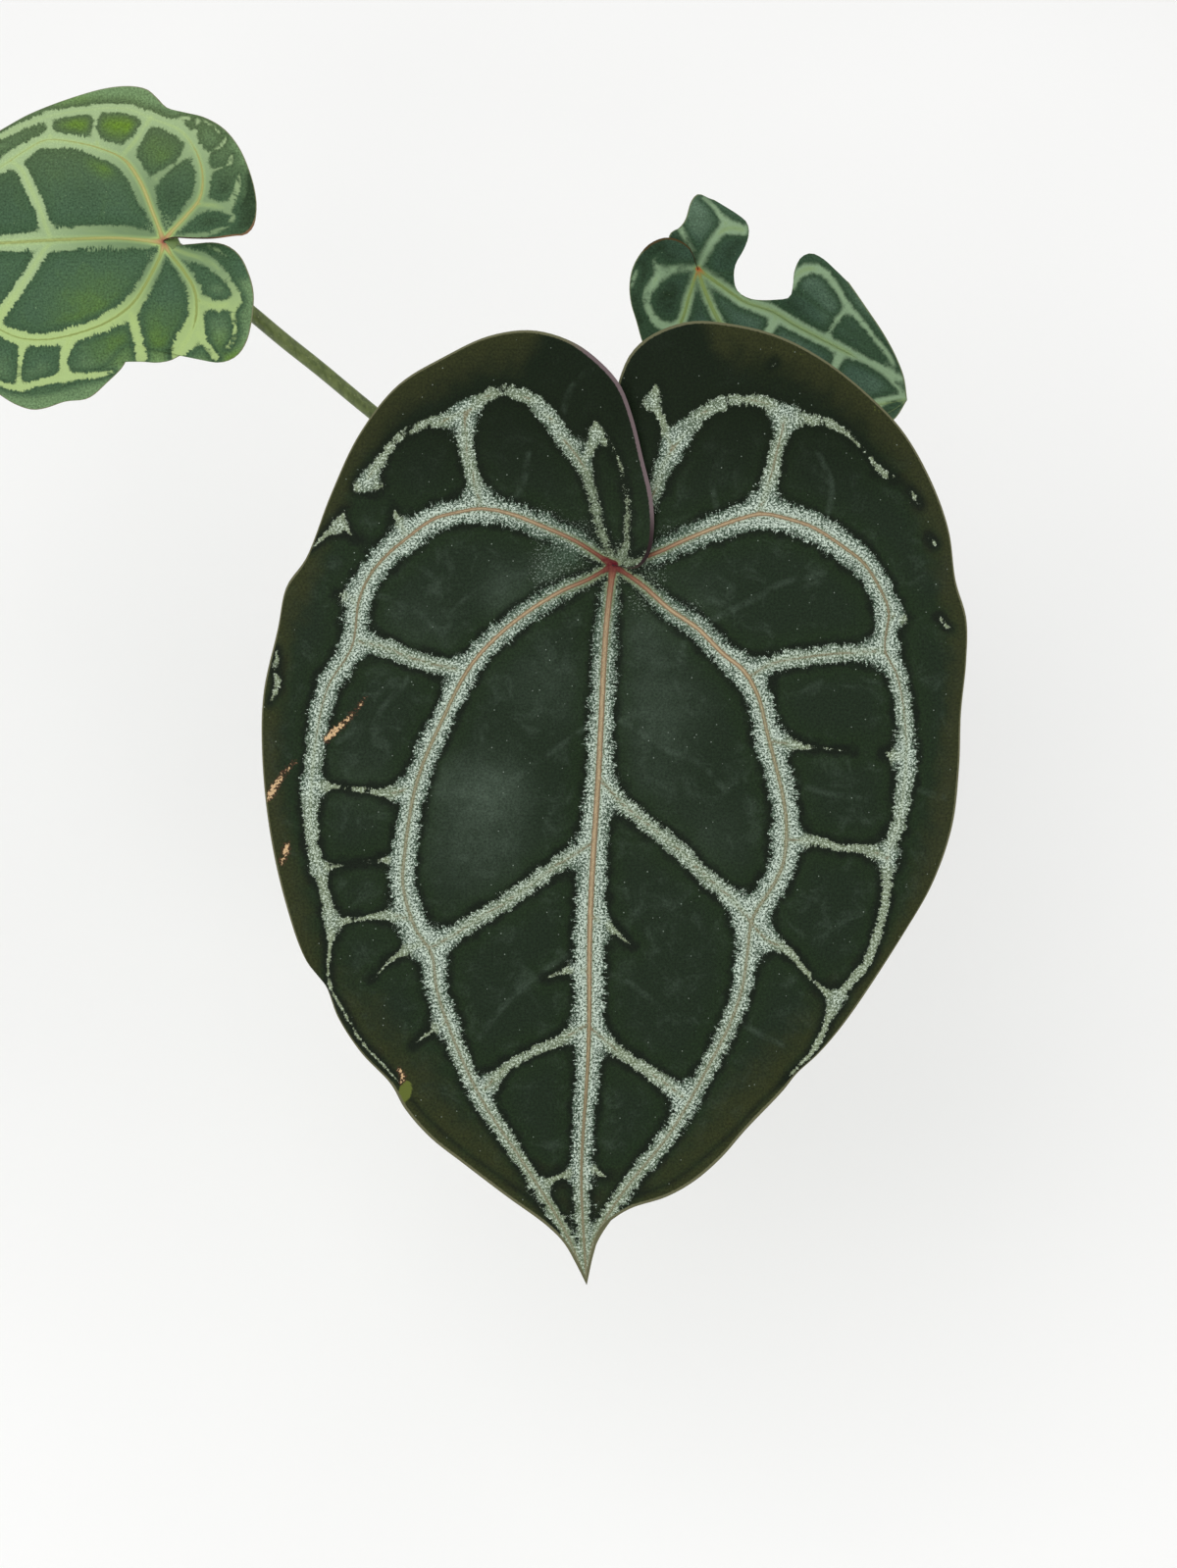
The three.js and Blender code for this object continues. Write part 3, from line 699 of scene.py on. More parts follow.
    def _line(self, d: Dresser, plan: Signal, line: Signal, tone: Signal,
              height: Signal) -> tuple[Signal, Signal]:
        """Paints the thin line in the middle of the main veins, with a border along its sides that is partly
        the vein's own colour and partly painted shade beside the raised line.

        Args:
            d: The material's dresser.
            plan: The place in the blade's plan.
            line: The distance outside the line.
            tone: How far the line has faded on its way from the seat.
            height: The plan's height above the seat.

        Returns:
            Its colour, and where it shows.
        """
        wander = d.noise(plan, 0.9, 2.0, 0.6)
        side = line + (wander - 0.5) * 0.45
        colour = d.ramp(tone + (wander - 0.5) * 0.12, (
            (0.0, self.heart), (0.12, self.flush), (0.34, self.line), (0.6, self.line), (0.9, self.faded)))
        # Partly the vein's own colour, partly painted shade: the line's sides take the border colour.
        colour = d.mix(side.step(-0.55, -0.1) * 0.6, colour, self.border)
        colour = d.mix(height.step(-2.5, -5) * tone.step(0.08, 0.3) * self.olive, colour, self.worn)
        return colour, side.step(0.2, -0.1) * (1 - tone.step(0.7, 1.0) * 0.4)

    def lower(self) -> Material:
        """Dresses the paler, duller underside.

        Returns:
            The material.
        """
        d = Dresser(self.name + "_under")
        plan = d.read("plan", 1)
        band, gap = d.read("band"), d.read("gap")
        mottle = d.noise(plan, 0.3, 3.0, 0.6)
        grain = d.noise(plan, 2.2, 2.0, 0.6)
        deep = tuple(c * 0.6 for c in self.under)
        colour = d.ramp(band / 12 + (mottle - 0.5) * 0.5, ((0.0, self.under), (1.0, deep)))
        vein = (gap + (mottle - 0.5) * 0.5).step(1.7, 0.7) * band.step(1.0, -0.6)
        colour = d.mix(vein, colour, self.under_vein)
        colour = d.grained(0.4, colour, grain, (0.3, 0.6), (0.7, 1.0))
        return d.finish(colour, 0.62 + (grain - 0.5) * 0.2, d.bump(grain, 0.1 * MM, 0.6),
                        Specular_IOR_Level=0.25)


VELVET = LeafFinish(
    name="velvet", outline=paint(18, 27, 16), near=paint(28, 43, 23), cell=paint(28, 41, 26),
    sheen_and_thread=paint(70, 84, 71), margin=paint(51, 54, 26), crown=paint(14, 25, 9), rim=paint(100, 100, 74),
    silver=paint(202, 217, 202), hollow=paint(58, 76, 60), stain=paint(122, 134, 98),
    heart=paint(84, 8, 26), flush=paint(136, 92, 72), line=paint(182, 161, 127), faded=paint(153, 150, 112),
    tarnish=paint(178, 188, 146), scar=paint(204, 172, 130), lip=paint(106, 92, 94),
    under=paint(106, 122, 84), under_vein=paint(142, 146, 100), rim_reach=0.8, dim=0.32, blur=0.16,
    stained=0.35)

FRESH = LeafFinish(
    name="fresh", outline=paint(48, 68, 44), near=paint(66, 94, 66), cell=paint(69, 97, 71),
    sheen_and_thread=paint(102, 136, 40), margin=paint(120, 150, 104), crown=paint(88, 108, 70), rim=paint(120, 122, 92),
    silver=paint(172, 196, 146), hollow=paint(104, 130, 92), stain=paint(182, 206, 124),
    heart=paint(140, 60, 62), flush=paint(180, 150, 104), line=paint(182, 178, 114),
    faded=paint(176, 190, 112), tarnish=paint(156, 177, 128), border=paint(150, 156, 88),
    lip=paint(120, 92, 66), worn=paint(144, 160, 90), under=paint(120, 144, 88),
    under_vein=paint(160, 176, 116), dim=1.2, seat_reach=44, olive=0.9, fringe=3.4, wobble=2.2, blur=0.3,
    grain=0.25, stained=0.3, cell_reach=8.0)

SHADED = LeafFinish(
    name="shaded", outline=paint(32, 50, 30), near=paint(50, 74, 52), cell=paint(60, 85, 68),
    sheen_and_thread=paint(108, 134, 112), margin=paint(62, 86, 62), crown=paint(76, 102, 80), rim=paint(112, 122, 90),
    silver=paint(142, 168, 134), hollow=paint(108, 134, 98), stain=paint(132, 156, 98),
    heart=paint(170, 78, 36), flush=paint(150, 128, 70), line=paint(126, 146, 84), faded=paint(126, 148, 90),
    tarnish=paint(134, 160, 124), border=paint(120, 140, 84), lip=paint(74, 60, 34),
    under=paint(104, 128, 80), under_vein=paint(140, 158, 108), dim=0.3, seat_reach=18, fringe=1.6,
    wobble=2.0, blur=0.7, grain=0.2, stained=0.5, cell_reach=6.0)


def dress_stalk() -> Material:
    """Dresses the stalks: olive green, streaked along and flushed brown near the foot.

    Returns:
        The material.
    """
    d = Dresser("stalk_skin")
    place, run = d.place(), d.read("run")
    streak = d.streaks(place, 0.08, 900)
    mottle = d.noise(place, 160, 3.0, 0.6)
    colour = d.ramp(mottle * 0.5 + streak * 0.5, (
        (0.3, paint(66, 78, 40)), (0.5, paint(96, 110, 60)), (0.7, paint(122, 134, 80))))
    colour = d.mix(run.step(60, 6) * 0.55, colour, paint(104, 84, 52))
    flecks = d.cells(place, 700).step(0.2, 0.1)
    colour = d.mix(flecks * 0.5, colour, paint(150, 160, 112))
    gloss = 0.45 + (mottle - 0.5) * 0.3
    return d.finish(colour, gloss, d.bump(streak, 0.15 * MM, 0.6), Specular_IOR_Level=0.35)


def dress_stem() -> Material:
    """Dresses the stem: green between its old leaf scars, brown and corky at them.

    Returns:
        The material.
    """
    d = Dresser("stem_skin")
    place, run = d.place(), d.read("run")
    mottle = d.noise(place, 220, 4.0, 0.65)
    cork = d.noise(place, 900, 3.0, 0.6)
    colour = d.ramp(mottle, (
        (0.3, paint(70, 66, 38)), (0.5, paint(104, 100, 60)), (0.7, paint(134, 118, 78))))
    colour = d.mix(cork.step(0.5, 0.68) * 0.6, colour, paint(92, 66, 42))
    colour = d.mix(run.step(52, 36) * 0.5, colour, paint(84, 62, 42))
    return d.finish(colour, 0.78, d.bump(cork, 0.3 * MM, 0.8), Specular_IOR_Level=0.25)


def dress_root() -> Material:
    """Dresses the thick roots: tan and felted, silvery where they are dry.

    Returns:
        The material.
    """
    d = Dresser("root_felt")
    place = d.place()
    mottle = d.noise(place, 260, 4.0, 0.6)
    felt = d.noise(place, 1800, 2.0, 0.7)
    colour = d.ramp(mottle, (
        (0.3, paint(112, 82, 54)), (0.52, paint(158, 128, 92)), (0.7, paint(186, 172, 144))))
    colour = d.grained(0.5, colour, felt, (0.3, 0.55), (0.7, 1.0))
    return d.finish(colour, 0.9, d.bump(felt, 0.25 * MM, 0.9), Specular_IOR_Level=0.15)


def dress_sheath() -> Material:
    """Dresses the dry sheaths: thin, brown and ribbed with fibres.

    Returns:
        The material.
    """
    d = Dresser("papery_sheath")
    place = d.place()
    fibre = d.streaks(place, 0.05, 1500)
    mottle = d.noise(place, 120, 4.0, 0.6)
    colour = d.ramp(fibre, (
        (0.32, paint(92, 62, 38)), (0.5, paint(150, 112, 72)), (0.68, paint(186, 152, 106))))
    colour = d.mix(mottle.step(0.45, 0.7) * 0.5, colour, paint(112, 84, 56))
    return d.finish(colour, 0.8, d.bump(fibre, 0.3 * MM, 0.9), Specular_IOR_Level=0.2)


def dress_pot() -> Material:
    """Dresses the pot: off-white moulded plastic, faintly speckled and dusty towards its foot.

    Returns:
        The material.
    """
    d = Dresser("pot_plastic")
    place = d.place()
    _, _, height = d.parts(place)
    cloud = d.noise(place, 22, 3.0, 0.5)
    fine = d.noise(place, 1400, 2.0, 0.6)
    colour = d.ramp(cloud, ((0.3, paint(216, 212, 202)), (0.7, paint(232, 229, 220))))
    dust = d.noise(place, 90, 5.0, 0.65).step(0.48, 0.72) * height.step(0.05, 0.004)
    colour = d.mix(dust * 0.4, colour, paint(168, 152, 128))
    speck = d.cells(place, 260).step(0.12, 0.06)
    colour = d.mix(speck * 0.25, colour, paint(150, 142, 128))
    return d.finish(colour, 0.5 + (cloud - 0.5) * 0.2, d.bump(fine, 0.06 * MM, 0.5), Specular_IOR_Level=0.4)


class ChipKind(Enum):
    """What the potting mix is made of."""

    BARK = "bark"
    CHARCOAL = "charcoal"
    PERLITE = "perlite"


@dataclass(frozen=True)
class ChipFinish:
    """How one kind of chip looks and how big it is, in millimetres."""

    kind: ChipKind
    dark: Colour
    light: Colour
    low: Spot
    high: Spot
    share: float

    def material(self) -> Material:
        """Dresses the chips, each a little lighter or darker by its attribute tint.

        Returns:
            The material.
        """
        d = Dresser(self.kind.value)
        place, tint = d.place(), d.read("tint")
        grain = d.noise(place, 420, 4.0, 0.65)
        fine = d.noise(place, 1600, 2.0, 0.6)
        colour = d.mix((grain + (tint - 0.5) * 0.5).step(0.25, 0.8), self.dark, self.light)
        relief = grain * 0.7 + fine * 0.3
        return d.finish(colour, 0.85, d.bump(relief, 0.6 * MM, 0.9), Specular_IOR_Level=0.25)


CHIP_FINISHES = (
    ChipFinish(ChipKind.BARK, paint(52, 34, 24), paint(138, 96, 62), (7, 5, 3), (16, 11, 6), 0.72),
    ChipFinish(ChipKind.CHARCOAL, paint(16, 16, 17), paint(54, 53, 52), (5, 4, 4), (10, 8, 7), 0.12),
    ChipFinish(ChipKind.PERLITE, paint(176, 172, 162), paint(232, 230, 222), (3, 3, 3), (6, 5, 5), 0.16),
)


# Leaves

class Side(Enum):
    """The half of a blade, seen from the front with its tip down."""

    LEFT = "left"
    RIGHT = "right"


NO_LINE = ((0, -1), (1, -1))


@dataclass(frozen=True)
class HalfPlan:
    """One half of a blade: its two main veins, its edge, and its lesser veins.

    The main veins and the edge run from the seat to the tip, and their points leave out both. A
    band's and a line's half width go by the share of the vein's length, and are below 0 where there
    is none. Each lesser vein's points hold its full width.
    """

    inner: Points
    outer: Points
    edge: Points
    veins: Strokes
    inner_band: Points = NO_LINE
    outer_band: Points = NO_LINE
    inner_line: Points = NO_LINE
    outer_line: Points = NO_LINE
    scars: Strokes = ()
    worn: Strokes = ()
    threads: Strokes = ()


@dataclass
class Leaf:
    """A blade in its plan, how it bends out of it, and the mesh that it is built as.

    Each of its light patches is a soft one of painted sheen, and of painted shade where its strength is
    below 0, and each of its mists is one of thin silver: its place in the plan, its radius and its strength.
    """

    COLUMN_PINCH = 0.09
    LESSER_TONE = 0.95

    name: str
    node: str
    slot: str
    finish: LeafFinish
    seat: Spot
    towards_tip: Pair
    reach: float
    lobe: float
    half_width: float
    lean: Pair
    droop: float
    lobe_droop: float
    fold: float
    curl: float
    wave: float
    waves: int
    rib_height: float
    midrib: Points
    midrib_band: Points
    midrib_line: Points
    halves: dict[Side, HalfPlan]
    stalk: Sequence[Spot]
    sheen_and_shade_patches: Sequence[Patch]
    mists: Sequence[Patch] = ()
    tones: Points = (
        (0, 0), (0.03, 0.13), (0.08, 0.32), (0.16, 0.5), (0.25, 0.8), (0.5, 0.95), (1, 1))
    midrib_tones: Points = ((0, 0), (0.02, 0.13), (0.08, 0.3), (0.4, 0.45), (0.65, 0.7), (1, 0.9))
    lesser_line: float = 0.3
    web: float = 1.0
    rows: int = 240
    columns: tuple[int, int, int] = (26, 24, 28)
    quilt: float = 2.0
    quilt_reach: float = 7.0
    thickness: float = 0.9
    lap_over: float = 3.2
    lap_under: float = 2.0
    fan_end: float = 0.7
    pad_radius: float = 4.6
    pad_depth: float = 4.0
    bite: Points = ()
    bite_depth: float = 60.0
    middle: FlowLine = field(init=False)
    materials: dict[str, Material] = field(init=False)

    def __post_init__(self) -> None:
        """Lays the midrib."""
        self.middle = FlowLine(self.midrib)

    def seat_place(self) -> Array:
        """Gives the seat, where the veins meet."""
        return MAIN_SEAT + self.seat[0] * ACROSS + self.seat[1] * UP - self.seat[2] * FACING

    def underside(self) -> Array:
        """Gives the place on the blade's underside behind the seat."""
        return self.seat_place() - self.thickness * FACING

    def by_tip(self, x: Array, y: Array) -> tuple[Array, Array]:
        """Gives how far each place lies towards the tip, and how far to the side of that way."""
        tip_x, tip_y = self.towards_tip
        return x * tip_x + y * tip_y, x * tip_y - y * tip_x

    def raised(self, x: Array, y: Array, rise: Array) -> Array:
        """Raises places of the plan towards the viewer along the line of sight.

        Args:
            x: Across from the seat.
            y: Up from the seat.
            rise: How far each place stands out of the plan.

        Returns:
            The places in the plant's frame.
        """
        depth = SIGHT_DISTANCE + self.seat[2]
        flat = self.seat_place() + x[..., None] * ACROSS + y[..., None] * UP
        return EYE + (flat - EYE) * (1 - rise / depth)[..., None]

    def bend(self, x: Array, y: Array) -> Array:
        """Gives how far the blade leans, droops, folds and curls out of its plan.

        Args:
            x: Across from the seat.
            y: Up from the seat.

        Returns:
            The rise of each place.
        """
        along, sideways = self.by_tip(x, y)
        aside = np.abs(sideways)
        return (self.lean[0] * x + self.lean[1] * y
                - self.droop * (np.maximum(0, along) / self.reach) ** 2
                - self.lobe_droop * (np.maximum(0, -along) / self.lobe) ** 2
                + self.fold * (1 - np.exp(-4 * aside / self.half_width))
                - self.curl * (aside / self.half_width) ** 3)

    def lap_lift(self, side: Side, x: Array, y: Array, outward: Array) -> Array:
        """Lifts the left lobe over the right one where they meet behind the seat.

        Args:
            side: The half.
            x: Across from the seat.
            y: Up from the seat.
            outward: The share of the way from midrib to edge.

        Returns:
            The lift of each place.
        """
        height = self.lap_over if side is Side.LEFT else -self.lap_under
        return height * self.lapping(side, x, y) * outward * (1 - np.exp(-np.hypot(x, y) / 5))

    def lapping(self, side: Side, x: Array, y: Array) -> Array:
        """Tells how near each place of a half lies to where the lobes meet, up to 1."""
        along, sideways = self.by_tip(x, y)
        turn = -1 if side is Side.LEFT else 1
        return smooth(-0.18, 0, turn * sideways / self.half_width) * smooth(-6, 8, -along)

    def guide(self, points: Points) -> FlowLine:
        """Lays a line from the seat through these points to the tip."""
        return FlowLine(((0, 0), *points, self.midrib[-1]))

    def station(self, line: FlowLine, t: Array) -> Array:
        """Gives the places of a vein or edge at stations from 0 at the seat to 1 at the tip."""
        return line.at(self._paced(line.length, t))

    def _paced(self, length: float, t: Array) -> Array:
        """Gives how far along a line each station is.

        Every line keeps pace with the midrib near the tip, and uses up its spare length round the seat.

        Args:
            length: The line's length.
            t: The stations.

        Returns:
            A length for each station.
        """
        lag = np.where(t < self.fan_end, (1 - t / self.fan_end) ** 2, 0)
        return self.middle.length * t + (length - self.middle.length) * (1 - lag)

    def veins_of(self, side: Side) -> list[tuple[FlowLine, Points, Points]]:
        """Lists a half's main veins.

        Args:
            side: The half.

        Returns:
            Each vein with the half widths of its band and of its line.
        """
        half = self.halves[side]
        return [
            (self.middle, self.midrib_band, self.midrib_line),
            (self.guide(half.inner), half.inner_band, half.inner_line),
            (self.guide(half.outer), half.outer_band, half.outer_line),
        ]

    def field_of(self, side: Side, spots: Array) -> dict[str, Array]:
        """Measures where each place lies among the veins.

        Args:
            side: The half.
            spots: Places in the plan, one row each.

        Returns:
            band, the distance outside the silver; nearest, that outside the nearest vein; gap and run,
            the distance from that vein and the length along it; main, the distance from a main vein;
            line and tone, the distance outside the vein's thin line and how far that has faded; scar
            and worn, the distance outside damage, and thread that outside the faintest veins; the light
            patches, painted sheen on the green where above 0 and painted shade where below 0; and mist,
            how silvery the green is.
        """
        half = self.halves[side]
        drawn = {"scar": half.scars, "worn": half.worn, "thread": half.threads}
        found = {key: np.full(len(spots), FAR) for key in ("nearest", "gap", "main", "line", *drawn)}
        found |= {key: np.zeros(len(spots)) for key in ("run", "tone", "near")}
        web = 0.5 + self.web * smooth(8, 25, np.hypot(*spots.T)) * self.reach / MAIN_REACH
        mains = self.veins_of(side)
        lines = [(line, spread(band, line), spread(inner, line)) for line, band, inner in mains]
        lines += [(*self._drawn(points), None) for points in half.veins]
        for number, (line, half_width, inner) in enumerate(lines):
            away, run, width = line_distance(line, spots, half_width)
            outside = away - width
            closer = outside < found["nearest"]
            found["nearest"] = np.minimum(outside, found["nearest"])
            found["gap"] = np.where(closer, away, found["gap"])
            found["run"] = np.where(closer, run + NOISE_SHIFT * number, found["run"])
            found["near"] += np.exp(-outside / web)
            if inner is None:
                thin = away - self.lesser_line * smooth(1.2, 2, width) + 2 * smooth(1.6, 1, width)
                found["tone"] = np.where(thin < found["line"], self.LESSER_TONE, found["tone"])
                found["line"] = np.minimum(found["line"], thin)
                continue
            shown = away + (number > 0) * 20 * np.maximum(0, -width)
            found["main"] = np.minimum(found["main"], shown)
            away, run, width = line_distance(line, spots, inner)
            closer = away - width < found["line"]
            found["line"] = np.minimum(found["line"], away - width)
            share, tone = zip(*(self.midrib_tones if number == 0 else self.tones))
            found["tone"] = np.where(closer, np.interp(run / line.length, share, tone), found["tone"])
        for key, points in [(key, points) for key, many in drawn.items() for points in many]:
            line, widths = self._drawn(points)
            away, _, width = line_distance(line, spots, widths)
            found[key] = np.minimum(found[key], away - width)
        found["band"] = -web * np.log(found.pop("near") + 1e-12)
        # Light patches paint sheen where their strength is above 0 and shade where it is below 0; mists are
        # thin silver.
        for key, patches in (("glow", self.sheen_and_shade_patches), ("mist", self.mists)):
            found[key] = np.zeros(len(spots))
            for x, y, radius, strength in patches:
                away_squared = (spots[:, 0] - x) ** 2 + (spots[:, 1] - y) ** 2
                found[key] += strength * np.exp(-away_squared / radius ** 2)
        return found

    @staticmethod
    def _drawn(points: Sequence[Spot]) -> tuple[FlowLine, Array]:
        """Gives the line through points that hold its full width, and its half widths."""
        line = FlowLine([point[:2] for point in points])
        knots = np.arange(len(line.places)) / FlowLine.STEPS
        return line, np.interp(knots, range(len(points)), [point[2] / 2 for point in points])

    def half_faces(self, side: Side) -> list[Piece]:
        """Builds one half's upper and lower faces, which meet at its edge.

        Args:
            side: The half.

        Returns:
            The two faces.
        """
        guides = [line for line, _, _ in self.veins_of(side)] + [self.guide(self.halves[side].edge)]
        t = self._row_stations()
        lines = [self.station(guide, t) for guide in guides]
        blocks, outs = [], []
        for strip, count in enumerate(self.columns):
            share = np.arange(count + (strip == 2)) / count
            share = (share - self.COLUMN_PINCH * np.sin(2 * math.pi * share))[:, None]
            blocks.append(lines[strip][:, None] * (1 - share) + lines[strip + 1][:, None] * share)
            outs.append((strip + share[:, 0]) / 3)
        spots = np.concatenate(blocks, axis=1)
        outward = np.concatenate(outs)[None, :] * np.ones((len(t), 1))
        x, y = spots[..., 0], spots[..., 1]
        seen = self.field_of(side, spots.reshape(-1, 2))
        seen = {key: values.reshape(x.shape) for key, values in seen.items()}
        width = np.linalg.norm(lines[3] - lines[0], axis=1)[:, None]
        rim = np.linalg.norm(spots - lines[3][:, None], axis=2)
        station = t[:, None]
        rise = self.bend(x, y) + self.lap_lift(side, x, y, outward ** 2) + self._relief(seen, rim, x, y)
        waves = self.wave * outward ** 4 * np.sin(2 * math.pi * self.waves * station)
        rise += waves * np.sin(math.pi * station)
        ends = smooth(0, 0.008, station) * (1 - smooth(0.988, 1, station))
        inward = np.clip((1 - outward) * np.maximum(width, 4), 0, 1)
        full = np.sqrt(1 - (1 - inward) ** 2) * ends
        taper = np.sqrt(np.sin(math.pi * np.clip(station + 0.04, 0, 1))) * (1.15 - station)
        rib = self.rib_height * taper * np.exp(-(seen["main"] / 1.6) ** 2)
        lesser = np.minimum(seen["gap"], seen["main"])
        silvered = np.maximum(smooth(1.5, -0.5, seen["nearest"]), np.exp(-seen["main"] ** 2))
        rib += 0.55 * np.exp(-(lesser / 1.1) ** 2) * silvered
        upper = self.raised(x, y, rise)
        lower = upper - ((self.thickness + rib * full) * full)[..., None] * FACING
        notes = {key: seen[key] for key in (
            "band", "gap", "run", "line", "tone", "scar", "worn", "thread", "glow", "mist")}
        along, sideways = self.by_tip(x, y)
        aside = np.abs(sideways) / self.half_width
        notes["margin"] = rim + 30 * smooth(-0.2, 0.1, -along / self.lobe) * (1 - smooth(0.12, 0.3, aside))
        turn = NOISE_SHIFT if side is Side.LEFT else -NOISE_SHIFT
        notes |= {"rim": rim, "plan": np.stack((x, y, np.full_like(x, turn)), axis=-1)}
        # Where the left lobe laps over, for its rim and the painted shadow along it.
        notes["lip"] = np.minimum(2.5 * self.lapping(side, x, y), 1) * (side is Side.LEFT)
        faces = []
        for face, places in (("upper", upper), ("lower", lower)):
            piece = shaped_grid(f"{self.name}_{side.value}_{face}", places, notes)
            piece.data.materials.append(self.materials[face])
            faces.append(piece)
        return faces

    def _row_stations(self) -> Array:
        """Spaces the rows evenly between the midrib's pace and the edges', alike in both halves.

        Returns:
            A station for each row.
        """
        t = np.linspace(0, 1, 2000)
        edge = sum(self.guide(half.edge).length for half in self.halves.values()) / 2
        pace = self._paced(edge, t) / edge
        return np.interp(np.linspace(0, 1, self.rows + 1), (pace + t) / 2, t)

    def _relief(self, seen: dict[str, Array], rim: Array, x: Array, y: Array) -> Array:
        """Quilts the blade between its veins.

        Args:
            seen: What field_of measured.
            rim: The distance from the edge.
            x: Across from the seat.
            y: Up from the seat.

        Returns:
            The rise of each place above the bent plan.
        """
        puffed = 1 - np.exp(-(seen["main"] / self.quilt_reach) ** 2)
        pinched = 1 - 0.4 * np.exp(-(seen["gap"] / 3.2) ** 2)
        ripple = 0.16 * np.sin(0.61 * x + 1.3 * np.sin(0.23 * y)) * np.sin(0.53 * y + np.sin(0.31 * x))
        return puffed * (self.quilt * pinched * (1 - np.exp(-(rim / 7) ** 2)) + ripple)

    def _pad(self) -> Piece:
        """Builds the swollen pad under the blade that the stalk's knee meets.

        Returns:
            The pad.
        """
        line = self.stalk_line()
        away = line.at(np.array(line.length - 1)) - line.at(np.array(line.length))
        away = away / np.linalg.norm(away)
        path = FlowLine([self.underside() + out * away for out in (-0.5, self.pad_depth / 2, self.pad_depth)])
        pad = swept(self.name + "_pad", path, 14, 28, self._pad_radius_at)
        points = len(pad.data.vertices)
        flat = {"band": 4.0, "gap": 4.0, "line": 9.0, "tone": 1.0, "scar": FAR, "worn": FAR, "thread": FAR,
                "rim": 20.0, "glow": 0.0, "mist": 0.0, "lip": 0.0, "margin": 20.0}
        for key, value in flat.items():
            note(pad, key, np.full(points, value))
        note(pad, "plan", corners_of(pad) / MM)
        pad.data.materials.append(self.materials["lower"])
        return pad

    def _pad_radius_at(self, share: Array, _: Array) -> Array:
        """Gives the pad's radius: it widens under the tilted blade and narrows to the stalk's knee."""
        widest = self.pad_radius - 1.5 * share ** 1.4
        return np.minimum(widest, 0.7 + self.pad_radius * 1.15 * share)

    def stalk_line(self) -> FlowLine:
        """Lays the stalk's line.

        Returns:
            The line, from its socket to its head just under the blade.
        """
        arrival = self.underside() - np.array(self.stalk[-1])
        arrival = arrival / np.linalg.norm(arrival)
        head = self.underside() - (self.pad_depth + CLEARANCE) * arrival
        return FlowLine([*self.stalk, head - Stalk.KNEE_LENGTH * arrival, head])

    def _bite_cutter(self) -> Piece:
        """Builds the block that cuts the bite out.

        Returns:
            The block.
        """
        outline = FlowLine(self.bite)
        spots = outline.at(np.linspace(0, outline.length, 90))
        block = added(bpy.ops.mesh.primitive_circle_add, "bite", vertices=len(spots), fill_type="NGON")
        depth = np.full(len(spots), self.bite_depth / 2)
        near, far = (self.raised(*spots.T, rise) * MM for rise in (depth, -depth))
        move_corners(block, far)
        with editing(block):
            bpy.ops.mesh.extrude_region_move()
        moved = corners_of(block)
        count = len(spots)
        order = [int(np.argmin(np.linalg.norm(far - spot, axis=1))) for spot in moved[count:]]
        moved[count:] = near[order]
        move_corners(block, moved)
        with editing(block):
            bpy.ops.mesh.normals_make_consistent(inside=False)
        block.data.materials.append(self.materials["lower"])
        return block

    def build(self) -> Piece:
        """Builds and dresses the blade.

        Returns:
            The blade.
        """
        self.materials = {"upper": self.finish.upper(), "lower": self.finish.lower()}
        faces = [face for side in Side for face in self.half_faces(side)]
        blade = join(faces, self.name)
        close_seams(blade)
        if self.bite:
            cut(blade, self._bite_cutter())
        blade = join([blade, self._pad()], self.name)
        return place_piece(blade, 60, self.slot, self.node)


def spread(pairs: Points, line: FlowLine) -> Array:
    """Spreads values that go by share of a line's length over its samples."""
    share, value = zip(*pairs)
    return np.interp(line.runs / line.length, share, value)


def line_distance(line: FlowLine, spots: Array, widths: Array) -> tuple[Array, ...]:
    """Measures places against a line that has a width.

    Args:
        line: The line, in the plan.
        spots: Places in the plan, one row each.
        widths: The half width at each of the line's samples.

    Returns:
        For each place: the distance to the line, the length along it and the half width, there
        where the place lies least far outside the line's width.
    """
    count = max(2, math.ceil(line.length / LINE_STEP) + 1)
    run = np.linspace(0, line.length, count)
    knots = line.at(run).astype(np.float32)
    width = np.interp(run, line.runs, widths).astype(np.float32)
    start, step = knots[:-1], np.diff(knots, axis=0)
    results = []
    for block in np.array_split(spots.astype(np.float32), max(1, len(spots) * count // BLOCK_SIZE)):
        from_start = block[:, None] - start
        share = np.clip((from_start * step).sum(2) / (step * step).sum(1), 0, 1)
        away = np.linalg.norm(from_start - share[..., None] * step, axis=2)
        wide = width[:-1] + share * np.diff(width)
        best = np.argmin(away - wide, axis=1)
        rows = np.arange(len(block))
        length = (best + share[rows, best]) * (line.length / (count - 1))
        results.append((away[rows, best], length, wide[rows, best]))
    return tuple(np.concatenate(parts) for parts in zip(*results))


def place_piece(piece: Piece, degrees: float, slot: str, node: str) -> Piece:
    """Shades a finished piece, and makes it ride on the plant's body and stand for its node.

    Args:
        piece: The piece, whose place is in its mesh.
        degrees: The angle from which an edge stays sharp.
        slot: The record's material slot; not used.
        node: The solid that it stands for.

    Returns:
        The piece.
    """
    select_only(piece)
    bpy.ops.object.shade_smooth_by_angle(angle=math.radians(degrees))
    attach(piece, BODY)
    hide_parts(node)
    logging.info("%s: %d faces for %s", piece.name, len(piece.data.polygons), node)
    return piece


